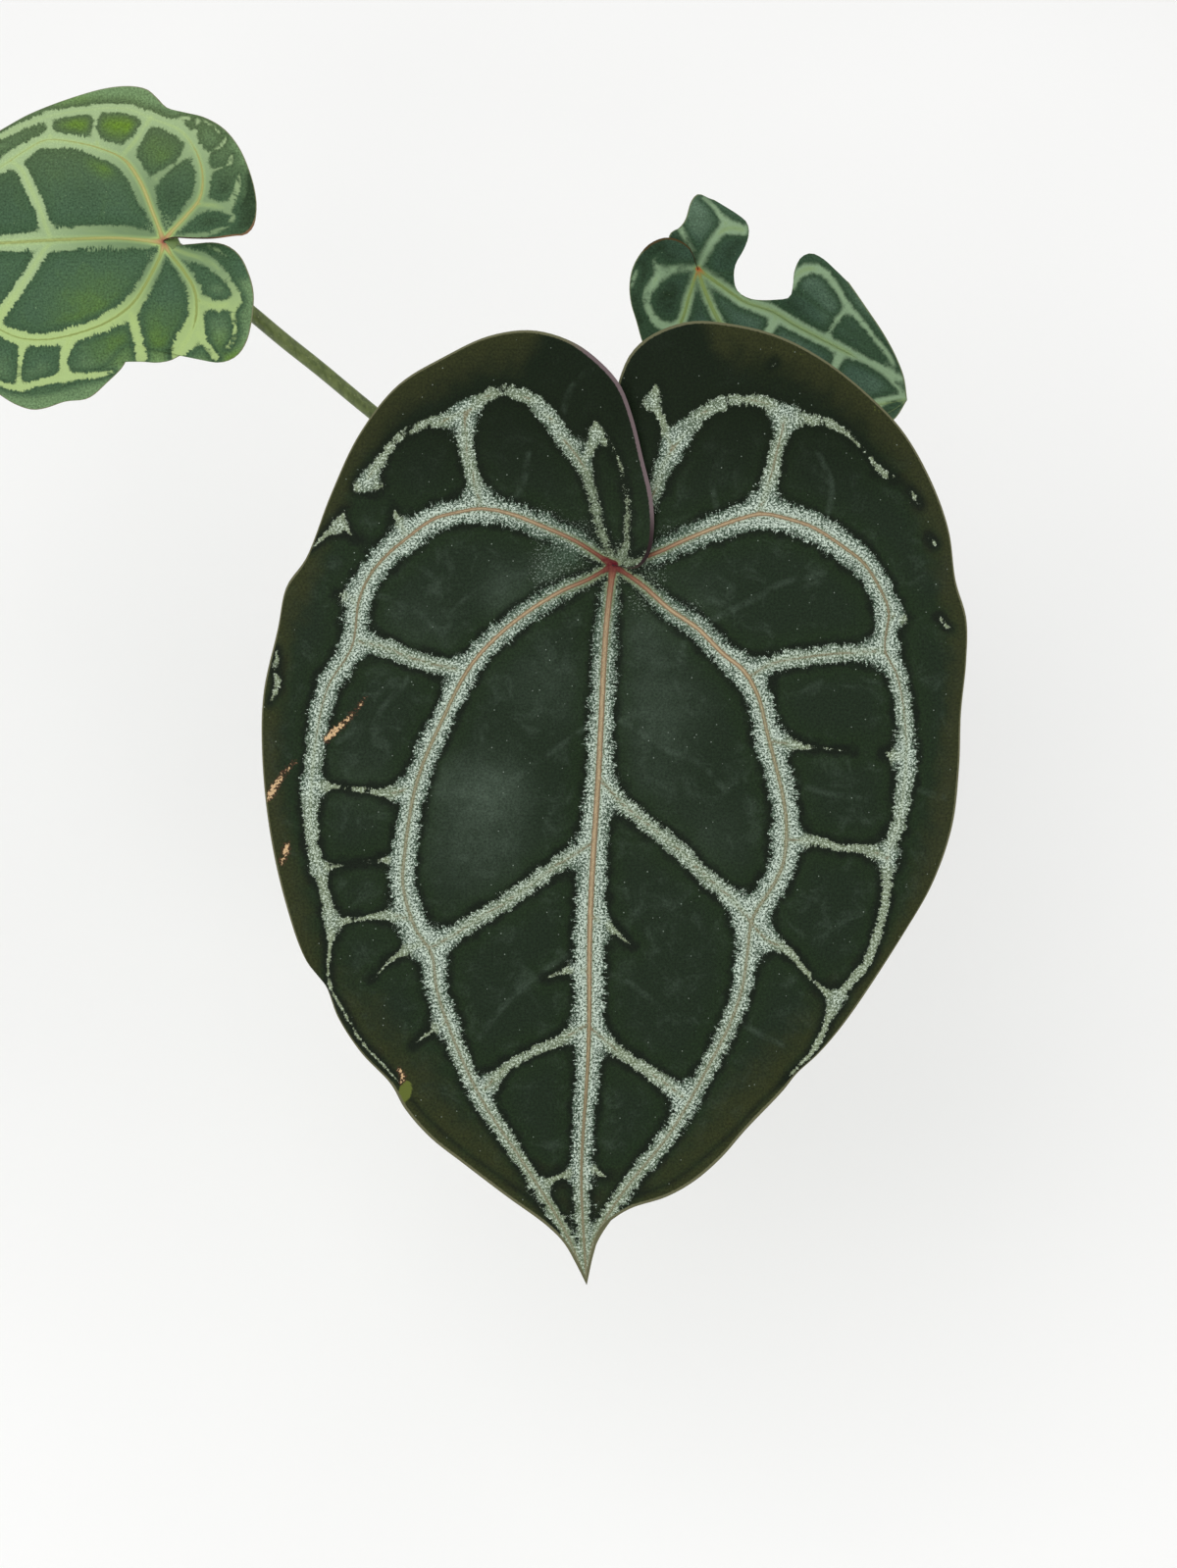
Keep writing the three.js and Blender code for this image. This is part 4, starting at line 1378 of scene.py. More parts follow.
MAIN_LEAF_LEFT = HalfPlan(
    inner=((-7, -4), (-15, -7.5), (-28, -16), (-40, -28), (-48, -43), (-55.5, -61), (-59, -81), (-59.5, -91),
           (-56, -103), (-51.5, -110), (-50, -120), (-46.5, -131), (-37.5, -151), (-25, -170), (-13, -190)),
    outer=((-11, 7), (-20, 11), (-29, 14.5), (-37, 16), (-44, 15), (-51, 13), (-58, 8), (-64, 3), (-69, -3),
           (-72, -10), (-74, -23), (-81, -35), (-85, -56), (-85.5, -76), (-83, -88), (-80, -101),
           (-80.5, -118), (-76, -127), (-72, -134), (-62, -145), (-54, -155), (-44, -164.5), (-29, -175.5),
           (-18, -184.5), (-12, -194)),
    edge=((6.5, -1), (10, 2.5), (11.5, 9.5), (11, 19.5), (8.5, 30), (5.5, 42), (2, 51), (-3, 57), (-11, 63),
          (-22.5, 66.5), (-35, 65), (-48, 59), (-61, 51), (-72, 37), (-80, 20), (-87, 2), (-92.5, -6),
          (-95, -18), (-99, -36), (-99.5, -52), (-97.5, -74), (-93, -95), (-87, -112), (-81.5, -119),
          (-78, -128), (-71.5, -138), (-63, -147), (-59, -154), (-52, -162), (-42.5, -169.5), (-30, -179),
          (-19, -187), (-14, -192), (-10.5, -198)),
    inner_band=((0, 0.8), (0.04, 2), (0.08, 2.9), (0.2, 3.2), (0.5, 3.4), (0.59, 3.3), (0.66, 2.5),
                (0.8, 2.2), (0.88, 1.5), (1, 0.5)),
    outer_band=((0, 0.8), (0.04, 3.2), (0.23, 3.8), (0.3, 3), (0.33, 3.4), (0.36, 3.3), (0.43, 2.5),
                (0.5, 1.9), (0.54, 1.3), (0.57, 1.7), (0.6, 0.5), (0.69, 0.35), (0.74, 0.2), (0.76, -1),
                (1, -1)),
    inner_line=((0, 1.3), (0.015, 0.55), (0.18, 0.52), (0.24, 0.46), (0.5, 0.4), (0.6, 0.34), (1, 0.28)),
    outer_line=((0, 1.3), (0.015, 0.55), (0.1, 0.52), (0.13, 0.45), (0.22, 0.38), (0.32, 0.24), (0.4, 0.05),
                (0.5, -0.5), (1, -1)),
    veins=(
        ((0, 0, 2), (-1.6, 5, 1.6), (-3.8, 10.5, 2.2), (-5, 16, 2.6), (-6.3, 22, 2.8), (-8.8, 28.5, 4),
         (-13.5, 35, 5), (-19, 43, 5.2), (-25.5, 48, 4), (-31, 49.5, 3.2), (-36.5, 47.5, 3.3),
         (-41.5, 43.5, 5), (-47.5, 41, 4), (-54.5, 39.5, 2.5), (-60, 37, 2), (-65, 31, 2.5), (-69, 25, 3.5),
         (-70.5, 22.5, 2)),
        ((-42, 43, 5), (-42, 36, 4.5), (-41, 30, 4), (-39, 23, 4.5), (-37.5, 16, 6)),
        ((-8, 30, 1.6), (-6.4, 33, 1.2), (-4.6, 36.7, 2.8), (-2.4, 35.6, 1.2), (0.4, 32, 0.7),
         (2.4, 27, 0.5), (3.4, 22, 0.4), (4, 18, 1), (3.8, 11.5, 1.3), (3.8, 6.5, 1.5), (2.5, 2.5, 3)),
        ((-4.8, 36.5, 2.4), (-4.8, 38.5, 1.6), (-5, 41, 0.6)),
        ((1.5, 1, 2), (4.5, 0.8, 2.4), (7.5, 1, 2), (9.6, 2, 1.5), (9.2, 4, 0.5)),
        ((-96, -30, 0.5), (-95, -33, 1.8), (-96, -36.5, 1), (-97.2, -39, 0.3)),
        ((-95.3, -24, 0.4), (-95.3, -27, 0.9)),
        ((-44.5, -29.5, 5), (-51, -28, 5), (-58, -26, 5), (-64, -23.5, 5), (-73, -21.5, 5)),
        ((-59, -63.5, 5), (-62, -64.5, 3.5), (-69, -64, 1.5), (-76.5, -63, 1), (-79.5, -63, 1.5),
         (-85.5, -62, 3)),
        ((-59.5, -83.5, 3), (-63, -83.5, 1), (-73.5, -84.5, 0.4), (-81.5, -85.5, 1), (-84, -86, 2)),
        ((-57, -100.5, 6), (-61, -99.5, 3.5), (-66, -99.5, 2), (-73.5, -100.5, 1), (-79.5, -101.5, 2.5)),
        ((-73, -10, 4), (-76.5, -9, 1.5), (-78.5, -8.5, 0.4)),
        ((-59, 9, 5), (-61, 13, 1.5), (-62, 15.5, 0.5)),
        ((-53.5, -107, 5), (-59, -109, 2), (-63, -112, 1), (-69, -118, 0.3)),
        ((-47, -129, 4), (-51.5, -132, 1), (-57, -136.5, 0.3)),
        ((-76.4, 15.2, 0.4), (-77.8, 11.5, 2), (-82, 8, 1.2), (-85.5, 4.5, 0.4)),
        ((-77.5, 11, 1.6), (-75, 9.5, 0.7), (-72.5, 8, 0.4)),
        ((-69.5, 24, 2.2), (-67, 22.6, 1.4), (-64.8, 21.4, 0.4)), ((-70, 23, 1.6), (-72.4, 22.2, 0.4)),
        ((-6.5, -79, 6), (-9.5, -81, 5), (-16, -85, 4.5), (-24, -91, 4.5), (-32, -96.5, 4.5),
         (-40.5, -101.5, 4.5), (-46.5, -105.5, 5.5), (-52, -108.5, 6)),
        ((-7, -130, 6), (-10.5, -132, 4), (-17, -135.5, 2.5), (-24, -138.5, 2.5), (-30.5, -142.5, 3),
         (-36.5, -148.5, 4.5)),
        ((-8.5, -171, 3), (-11.5, -172, 1), (-16, -173.5, 1), (-20, -176, 2)),
        ((-6.5, -115.5, 5), (-12, -114.5, 1), (-19, -117, 0.4)),
    ),
    scars=(
        ((-81.5, -49.5, 1), (-79.5, -47.5, 1.5), (-76, -44.5, 0.7), (-72, -40, 0.2), (-69.5, -37, 0.1)),
        ((-98, -66.5, 0.6), (-96.5, -64, 1.7), (-95, -61.5, 1), (-92, -57.5, 0.3), (-90, -55.5, 0.1)),
        ((-92.3, -79.5, 1), (-92.9, -81.5, 1.4)), ((-93.6, -83.6, 0.8), (-93.8, -84.2, 0.8)),
        ((-60.5, -143, 0.6), (-59.5, -145, 0.9), (-60, -146.5, 0.5)),
    ),
    worn=(
        ((-58.5, -147.5, 3), (-59, -149.5, 4), (-59.5, -151, 2.5)),
    ),
    threads=(
        ((-5, -44, 0.4), (-16, -52, 0.3), (-27, -60, 0.6), (-34, -66, 0.8), (-41, -64, 0.3)),
        ((-30, -62, 0.5), (-36, -74, 0.3), (-43, -84, 0.3)),
        ((-49, -22, 0.3), (-44, -12, 0.4), (-34, -5, 0.3), (-22, -1, 0.3)),
        ((-68, -8, 0.4), (-58, -12, 0.3), (-50, -18, 0.3)),
        ((-58, -32, 0.4), (-67, -42, 0.3), (-78, -50, 0.3)), ((-15, 40, 0.4), (-12, 50, 0.3), (-6, 56, 0.2)),
        ((-24, 32, 0.4), (-26, 22, 0.3), (-30, 16, 0.2)),
        ((-8, -108, 0.4), (-20, -115, 0.3), (-32, -126, 0.4), (-38, -134, 0.2)),
    ))

MAIN_LEAF_RIGHT = HalfPlan(
    inner=((8, -5.5), (16, -12.5), (24, -18), (31, -25), (37, -30), (41, -37), (43.5, -47), (48.5, -68),
           (49, -77), (48, -85), (44.5, -92), (39.5, -100), (38, -110), (36.5, -120), (33, -130), (27, -142),
           (16, -161), (4, -176), (-2, -185), (-6, -193)),
    outer=((11, 3), (20, 7), (28.5, 10.5), (35.5, 13), (42, 14.5), (50, 13), (57, 10.5), (64, 6), (71, 0.5),
           (75.5, -6.5), (78, -13), (77, -24), (80.5, -31.5), (83, -51), (81, -72), (78, -81), (77.5, -91),
           (75.5, -102), (71.5, -113), (64, -122), (57, -137), (52, -142.5), (42, -152), (29, -165),
           (16, -175), (5, -179.5), (-0.5, -185.5), (-5, -193)),
    edge=((1, 5), (1.5, 13), (0.5, 24), (-0.5, 35), (0, 45), (2, 53.5), (5, 60), (10.5, 65), (21.5, 69),
          (35.5, 68), (48, 64.5), (60, 58), (72, 48.5), (82, 38), (90, 24), (95, 10), (97, -4.5), (100, -15),
          (100, -27), (98.5, -42), (98, -57), (96, -74), (90.5, -90), (82.5, -104), (66, -129), (58, -138.5),
          (52, -144), (48, -149), (37.5, -160), (30.5, -168), (23, -174.5), (15, -179), (5.5, -182),
          (1, -184.5), (-3, -188), (-5.5, -195)),
    inner_band=((0, 0.8), (0.04, 2), (0.08, 3), (0.23, 3.5), (0.4, 3.7), (0.5, 3.8), (0.55, 3.2),
                (0.64, 2.5), (0.83, 2.5), (0.91, 1.5), (1, 0.5)),
    outer_band=((0, 0.8), (0.04, 3), (0.12, 4), (0.21, 4.2), (0.24, 3.7), (0.31, 3), (0.32, 3.5),
                (0.35, 2.7), (0.44, 2.5), (0.51, 1.7), (0.54, 1.2), (0.65, 1.2), (0.73, 0.4), (0.75, -1),
                (1, -1)),
    inner_line=((0, 1.3), (0.015, 0.62), (0.2, 0.6), (0.24, 0.5), (0.4, 0.45), (0.55, 0.37), (1, 0.28)),
    outer_line=((0, 1.3), (0.015, 0.55), (0.11, 0.54), (0.14, 0.5), (0.24, 0.42), (0.32, 0.24), (0.4, 0.05),
                (0.5, -0.5), (1, -1)),
    veins=(
        ((0, 0, 3), (5, 9.5, 5), (11, 19.5, 4.5), (13.8, 26.5, 5), (17, 33, 5.5), (21.5, 39.5, 4.8),
         (28.5, 45, 4), (34.5, 46.6, 3.3), (43, 46, 3.2), (48, 42.5, 4.2), (56.5, 41, 3), (64, 39, 2.4),
         (69, 35, 1.5), (72.5, 31, 0.8), (76, 26.5, 2.5), (80, 24.5, 0.6)),
        ((48.5, 42.5, 4.5), (48, 38, 4.5), (46, 31, 4), (44.5, 24, 4.5), (41.5, 15.5, 6.5)),
        ((17, 33.5, 4.5), (15, 37.5, 1.8), (14, 40.5, 1.3), (12.8, 43.5, 1.6), (11, 46.3, 3),
         (12, 48.8, 1.7), (12.5, 51.5, 0.5)),
        ((11, 46.3, 2.2), (8.2, 45, 0.6)), ((44.6, 56.4, 1), (45.7, 57.5, 1.2)),
        ((38.5, -31.5, 6), (46, -27.5, 5), (55, -26, 5), (64, -25, 5), (73, -24.5, 5), (77, -24, 6)),
        ((44.5, -50, 6), (49, -50.5, 3.5), (55, -51.5, 0.8), (68, -52.5, 0.4)),
        ((82.5, -54, 4), (79, -54, 2), (77, -53.5, 0.8)),
        ((48.5, -77.5, 6), (52, -78, 3.5), (57, -78, 2.5), (64, -80, 2), (71.5, -80.5, 2.5), (78, -83, 4.5)),
        ((39.5, -102, 8), (44, -106.5, 6), (48.5, -108.5, 2.5), (54, -114.5, 1.5), (59, -120, 1),
         (63.5, -123.5, 2.5)),
        ((78, -14, 5), (81, -15, 2), (83.5, -15.5, 0.6)), ((84, 21, 0.8), (86, 18.5, 1.5), (87, 17, 0.6)),
        ((89.5, 8, 1), (91, 6, 1.5)), ((92.5, -14.5, 1), (94, -17, 1), (95.5, -18, 0.5)),
        ((-4.5, -59.5, 6), (-2, -62.5, 5), (2.5, -67.5, 4.5), (10.5, -74, 4.5), (19, -81, 4.5),
         (26, -88, 4.5), (33.5, -94.5, 5), (39, -101, 6)),
        ((-6, -131.5, 6), (-2.5, -134.5, 4), (2.5, -138.5, 3), (8.5, -142.5, 3), (14.5, -146.5, 4),
         (19.5, -150.5, 6)),
        ((-6.5, -99.5, 5), (-2.5, -101.5, 2), (1.5, -104.5, 0.9), (5, -108, 0.4)),
        ((-8.5, -171, 3), (-5.5, -171.5, 1), (-2.5, -173, 0.6)),
    ),
    worn=(
        ((49.5, 62, 0.2), (51.2, 60.6, 0.3), (54, 59.6, 0.1)), ((74, 44.6, 0.5), (75.5, 43, 0.4)),
        ((61, 55.8, 0.2), (62.4, 54.8, 0.2)), ((85, 20.5, 0.3), (86.5, 18, 0.3)),
    ),
    threads=(
        ((24, -18, 0.5), (33, -13, 0.4), (40, -9.5, 0.4), (48, -5, 0.3), (60, -2, 0.2)),
        ((-3, -42, 0.4), (6, -46, 0.4), (14, -52, 0.3), (24, -56, 0.4), (32, -64, 0.2)),
        ((20, -22, 0.4), (18, -32, 0.3), (22, -42, 0.2)), ((49, -60, 0.4), (58, -64, 0.3), (70, -66, 0.2)),
        ((30, 14, 0.3), (28, 24, 0.3), (32, 34, 0.2)), ((60, 12, 0.4), (62, 22, 0.3), (58, 32, 0.2)),
        ((-6, -114, 0.4), (4, -118, 0.3), (14, -126, 0.3)), ((80, -60, 0.4), (88, -64, 0.3), (94, -66, 0.2)),
        ((32, -126, 0.4), (40, -132, 0.3), (48, -136, 0.2)),
    ))

MAIN_LEAF = Leaf(
    name="main_leaf", node="blade_main", slot="velvet_blade", finish=VELVET, seat=(0, 0, 0),
    towards_tip=(-0.04, -1), reach=204, lobe=68, half_width=100, lean=(0, 0), droop=24, lobe_droop=6, fold=5,
    curl=13, wave=1.6, waves=7, rib_height=2,
    midrib=((0, 0), (-2, -18), (-4, -56), (-6.5, -99), (-7, -137), (-9, -173), (-7.5, -204)),
    midrib_band=((0, 1), (0.04, 2.6), (0.1, 3.3), (0.35, 3.7), (0.52, 4.6), (0.74, 3.3), (0.89, 2.2),
                 (1, 0.6)),
    midrib_line=((0, 1.4), (0.02, 0.8), (0.1, 0.75), (0.45, 0.75), (0.6, 0.6), (0.75, 0.42), (0.9, 0.33),
                 (1, 0.3)),
    mists=((-15, 3, 6, 0.9), (-10, 4, 4, 0.5), (-20, -3, 4, 0.5), (-9, 9, 4, 0.5), (-19, 12, 5, 0.4),
           (11, -2.5, 4, 0.7), (2, 4, 3, 0.7), (16, 8, 4, 0.5), (8, -10, 4, 0.5), (22, -13, 4, 0.4),
           (24, 11, 3, 0.4)),
    # Soft patches of painted sheen.
    sheen_and_shade_patches=((-34, -63, 8, 0.75), (-39, -78, 13, 0.5), (-46, -62, 7, 0.4), (10, -20, 9, 0.35),
           (12, -40, 11, 0.45), (-19, -34, 10, 0.3), (-30, -8, 7, 0.5), (-18, -3, 5, 0.5), (28, -78, 9, 0.2),
           (22, -10, 8, 0.2), (-72, -62, 9, 0.2), (-55, -18, 9, 0.2), (12, -60, 8, 0.2)),
    stalk=((1.5, -6.5, 134), (4, -16, 170), (9, -40, 224), (16, -74, 280)),
    halves={Side.LEFT: MAIN_LEAF_LEFT, Side.RIGHT: MAIN_LEAF_RIGHT})

LEFT_LEAF_LEFT = HalfPlan(
    inner=((-1, 3), (-3.5, 9.5), (-7, 18), (-12, 25), (-19.5, 28.5), (-28, 30.5), (-36, 31), (-42, 28),
           (-48, 24), (-62, 16), (-80, 7), (-95, 2)),
    outer=((2, 2.5), (7.5, 8.5), (11, 13), (12, 20), (10, 27.5), (5, 34), (-3.5, 37.5), (-11, 40.5),
           (-21, 40.5), (-36, 38), (-50, 32), (-66, 22), (-83, 10), (-96, 2.5)),
    edge=((2.5, 1), (9, 0.8), (15, 0.8), (22, 1.7), (25, 2), (27.5, 4.5), (28.5, 10), (28, 15.5), (26, 22.5),
          (23, 29), (18.5, 34.5), (12.5, 38), (6.5, 39.5), (1, 41), (-2, 44), (-5, 46.5), (-9.5, 47.5),
          (-17, 47), (-28, 44), (-41, 39), (-50, 34), (-67, 24.5), (-83, 12.5), (-96, 4)),
    inner_band=((0, 1), (0.03, 1.6), (0.08, 2.3), (0.13, 3.1), (0.21, 3.2), (0.28, 2.5), (0.34, 2.2),
                (0.4, 1.9), (0.46, 2.2), (0.63, 1.7), (0.79, 1.3), (0.9, 1), (1, 0.5)),
    outer_band=((0, 1), (0.03, 1.5), (0.09, 2.5), (0.13, 2.1), (0.17, 2.3), (0.21, 1.9), (0.25, 2.3),
                (0.3, 1.6), (0.35, 1.4), (0.41, 1.3), (0.5, 1.3), (0.6, 0.9), (0.71, 0.6), (1, 0.5)),
    inner_line=((0, 1), (0.03, 0.5), (0.12, 0.55), (0.19, 0.5), (0.24, 0.15), (0.5, 0), (1, -0.5)),
    outer_line=((0, 0.9), (0.03, 0.5), (0.1, 0.4), (0.14, 0.25), (0.2, 0.1), (0.3, -0.5), (1, -1)),
    veins=(
        ((-3, 1.8, 1.6), (-9, 3, 2.6), (-18, 3.4, 2.8), (-27, 3, 2.6), (-34, 2, 2)),
        ((-12, 27, 5), (-8.8, 30.5, 3.2), (-6.2, 34.5, 2.8), (-3.8, 38, 3.6)),
        ((-20, 29, 4), (-21, 33, 1.6), (-21, 36, 1.2), (-20.5, 40, 2)),
        ((-34.5, 31, 4), (-34.9, 34.5, 1.8), (-35, 36.5, 1.4), (-35, 39, 2.4)),
        ((-2.5, 19, 3), (1, 21.8, 1.1), (5, 25, 1.3), (8, 27.5, 3)),
        ((-34.5, 1, 4), (-36, 4.5, 3.6), (-38, 10.5, 3.4), (-41, 17, 3.4), (-43.5, 22, 3.6), (-47, 25, 4)),
        ((11, 26, 3), (14, 27.2, 1.1), (16.5, 28.7, 0.8), (18, 30, 1.7), (19.2, 31.8, 0.6)),
        ((13, 21.4, 1.6), (15.5, 21.8, 0.5), (18.5, 23.2, 0.7), (20.4, 24.4, 1.8), (21, 26.5, 0.5)),
        ((10.5, 11.5, 4.5), (15, 11, 3.2), (19.3, 10.7, 2.8), (21.6, 13.5, 1.9), (22.7, 17, 1.8),
         (23, 20.5, 0.6)),
        ((20, 9.5, 1.6), (21.3, 7, 1.4), (19.5, 4.8, 1), (14, 2.4, 1.4), (8, 1.6, 2), (3, 1, 2)),
        ((5, 34.5, 1.6), (5.5, 37.5, 0.5)), ((9.5, 33, 1.6), (10.3, 35.5, 0.5), (10.8, 38, 0.5)),
        ((6, 37.8, 0.5), (8.2, 37.6, 0.8)), ((12.6, 36.8, 0.5), (13.8, 35.8, 0.8)),
        ((15.8, 34.8, 0.9), (17, 33.2, 0.5)), ((-68, -1, 4), (-71, 5, 3), (-74, 10, 3)),
        ((-60, 17, 3), (-61, 21, 2), (-61, 25, 2)),
    ))

LEFT_LEAF_RIGHT = HalfPlan(
    inner=((-0.5, -3), (-3.5, -9.5), (-9.5, -19), (-17, -24.5), (-26, -28), (-36, -30), (-44, -29.5),
           (-50, -27), (-64, -20), (-80, -11.5), (-95, -4.5)),
    outer=((1.5, -3), (6.5, -9.5), (9.5, -15), (10, -22.5), (8, -28.5), (3, -32.5), (-4, -33), (-11, -31.5),
           (-18, -38), (-29, -44), (-40, -46.5), (-50, -42.5), (-65, -32), (-80, -19), (-93, -7.5)),
    edge=((3.5, -1), (9, -0.7), (15.5, -0.3), (20, -1.5), (23.5, -4.5), (26, -9.5), (27.5, -15),
          (27.5, -20.5), (25.5, -30.5), (22.5, -35), (18, -37), (13.5, -36.5), (8, -33.5), (5, -35),
          (2, -36.5), (-3, -37), (-6.5, -35.5), (-10, -34.5), (-12.5, -38.5), (-17, -43), (-23, -48),
          (-30, -49), (-36, -51), (-40, -51.5), (-45, -50), (-50, -47), (-65, -35.5), (-80, -22),
          (-92, -10)),
    inner_band=((0, 1), (0.02, 1.4), (0.08, 2.2), (0.17, 2.6), (0.24, 2.5), (0.32, 2), (0.4, 1.9),
                (0.51, 1.9), (0.63, 1.6), (0.77, 1.3), (0.9, 1), (1, 0.5)),
    outer_band=((0, 1), (0.02, 1.3), (0.08, 2), (0.12, 2.3), (0.17, 2.5), (0.2, 2.8), (0.22, 1.5),
                (0.23, -1), (1, -1)),
    inner_line=((0, 0.9), (0.03, 0.4), (0.1, 0.35), (0.2, 0.3), (0.3, 0.2), (1, 0)),
    outer_line=((0, 0.9), (0.03, 0.4), (0.1, 0.35), (0.16, 0.3), (0.2, -0.5), (1, -1)),
    veins=(
        ((-10, -22, 4), (-8.2, -28, 2.8), (-6.8, -35.5, 3.2)), ((9, -26.5, 4), (7, -30.5, 4.5), (4, -35, 4)),
        ((2.5, -2, 3), (7, -3.8, 4), (12, -5.3, 3.8), (17, -8.8, 2.8), (20.5, -13, 2.1), (22.6, -17.5, 2.4),
         (21.4, -22, 1.3), (22, -27, 1.6), (21.6, -30.5, 0.6)),
        ((20.4, -31, 0.8), (19.6, -32.6, 1.3)),
        ((10.5, -18, 4), (14.5, -19.5, 3.6), (19.5, -19.3, 3.2), (22.5, -18.2, 2.2)),
        ((10.5, -28, 4), (13, -31.5, 1.8), (16, -35.5, 2.2)),
        ((13.5, -1.2, 0.7), (16.5, -2.6, 1.1), (19, -4.6, 0.6)),
        ((-33.5, 0.5, 4), (-36.5, -2.5, 3.6), (-41, -9.5, 3.3), (-46, -17, 3.3), (-51.5, -24.5, 4)),
        ((-95, -6.5, 1), (-78, -20.5, 1.5), (-62, -34.5, 1.5), (-50, -43.5, 1.5), (-43, -44.5, 2),
         (-37, -43, 2.2), (-30.5, -41.5, 2.6), (-21, -41, 1.8), (-15.5, -40, 0.9)),
        ((-28.5, -29, 4), (-30.5, -35.5, 2.4), (-30.5, -41.5, 2.6)),
        ((-43, -29.5, 3), (-44, -38.5, 1), (-44.5, -44, 1.6)),
        ((-70, -1.5, 4), (-74, -8, 3), (-78, -12.5, 3)), ((-58, -23, 3), (-58, -31, 1.6), (-58, -37, 1.6)),
    ))

LEFT_LEAF = Leaf(
    name="left_leaf", node="blade_left", slot="fresh_blade", finish=FRESH, seat=(-137, 104, 64),
    towards_tip=(-1, 0), reach=107, lobe=29, half_width=50, lean=(0.22, 0), droop=14, lobe_droop=3, fold=3,
    curl=6, wave=1.4, waves=4, rib_height=1.5, quilt=1.6, quilt_reach=5.0, rows=150, columns=(18, 15, 15),
    midrib=((0, 0), (-2, 0), (-14, 1), (-32, 0.5), (-50, -0.5), (-77, -1.5), (-107, -1)),
    midrib_band=((0, 1.4), (0.05, 2.4), (0.12, 3.2), (0.3, 3.1), (0.5, 2.4), (0.8, 1.7), (1, 0.5)),
    midrib_line=((0, 1.2), (0.03, 0.6), (0.1, 0.45), (0.3, 0.4), (0.8, 0.3), (1, 0.2)),
    lesser_line=0.0, web=0.35,
    tones=((0, 0), (0.012, 0.12), (0.03, 0.34), (0.18, 0.5), (0.4, 0.8), (1, 0.9)),
    midrib_tones=((0, 0), (0.015, 0.12), (0.04, 0.34), (0.12, 0.6), (0.3, 0.85), (1, 0.9)),
    # Soft patches of painted sheen, and of painted shade where the strength is below 0.
    sheen_and_shade_patches=((-11, 36, 5, 1), (-17, 37, 4, 0.6), (-27, 37.5, 6, 1.1), (-18, 25, 4, 0.9), (-18, -18, 8, 0.3),
           (-1, 27, 5, 0.3), (-27, -22, 7, 0.3), (-2, -32, 7, 0.5), (2, -24, 5, 0.15), (-15, -33, 7, 0.4),
           (19, -34, 5, 1), (24, -23, 5, -0.3), (8, 35, 4, 0.3), (2, 14, 5, -0.5), (15, 6, 5, -1.1),
           (25, 6, 7, -1.1), (26, 16, 7, -1.4), (18, 18, 5, -0.3), (17, 26, 4, -0.3), (-24, 13, 5, -0.3),
           (-48, 14, 8, -0.3), (0, 38, 3, -0.6)),
    mists=((1, 5.5, 3.6, 0.8), (-4.5, 4, 3, 0.6), (-3.5, -4.5, 2.6, 0.6), (1, -4.5, 2.4, 0.6),
           (5, -3, 3.2, 0.5)),
    stalk=((-6.5, 3, 128), (-16, 6, 165), (-45, 13, 215), (-88, 20, 272)),
    halves={Side.LEFT: LEFT_LEAF_LEFT, Side.RIGHT: LEFT_LEAF_RIGHT})

BACK_LEAF_LEFT = HalfPlan(
    inner=((1, -3.5), (3.5, -10), (6.5, -16), (11.5, -23), (20.5, -33), (31, -39), (42, -41.5), (54, -41.5)),
    outer=((-1, -3), (-2.5, -7.5), (-4, -13), (-5.5, -18), (-4, -28), (4, -38), (18, -46.5), (34, -50.5),
           (49, -48), (59, -43.5)),
    edge=((-1, 3), (-2.5, 6.5), (-6, 9), (-10, 9.7), (-14.5, 8), (-17.5, 5), (-20, 0.5), (-21, -5),
          (-20.5, -10.5), (-19, -15.5), (-17, -22.5), (-13, -33), (-5, -43.5), (7, -52), (22, -56.5),
          (37, -56), (50, -52), (60, -46)),
    inner_band=((0, 0.8), (0.1, 1.3), (0.7, 1.5), (0.9, 0.8), (0.95, -1), (1, -1)),
    outer_band=((0, 0.8), (0.1, 1.5), (0.6, 1.7), (0.9, 0.8), (0.95, -1), (1, -1)),
    inner_line=((0, 0.5), (0.5, 0.4), (1, 0)),
    outer_line=((0, 0.4), (0.4, 0.3), (1, 0)),
    veins=(
        ((-1, 0.2, 1), (-6, 0.2, 1.6), (-10, -0.9, 2.8), (-13, -3.5, 2.9), (-15.3, -7, 2.4),
         (-15.5, -11, 1.9), (-14, -14.5, 2.2), (-11.5, -17, 2.7), (-5.5, -17.5, 2.2)),
        ((-12, 3.3, 0.7), (-13.3, 2.3, 1.3), (-12, -0.5, 1.2)),
        ((-18.7, -0.5, 0.5), (-19.6, -2.6, 1.1), (-20.5, -5.5, 0.6)),
        ((55, -41, 2.4), (58, -39.8, 1.8), (63.3, -38.8, 0.8)), ((24, -14.5, 3), (20, -22, 2), (16, -29, 2)),
        ((44, -25, 2.4), (40, -34, 2), (37, -40.5, 2)),
    ))

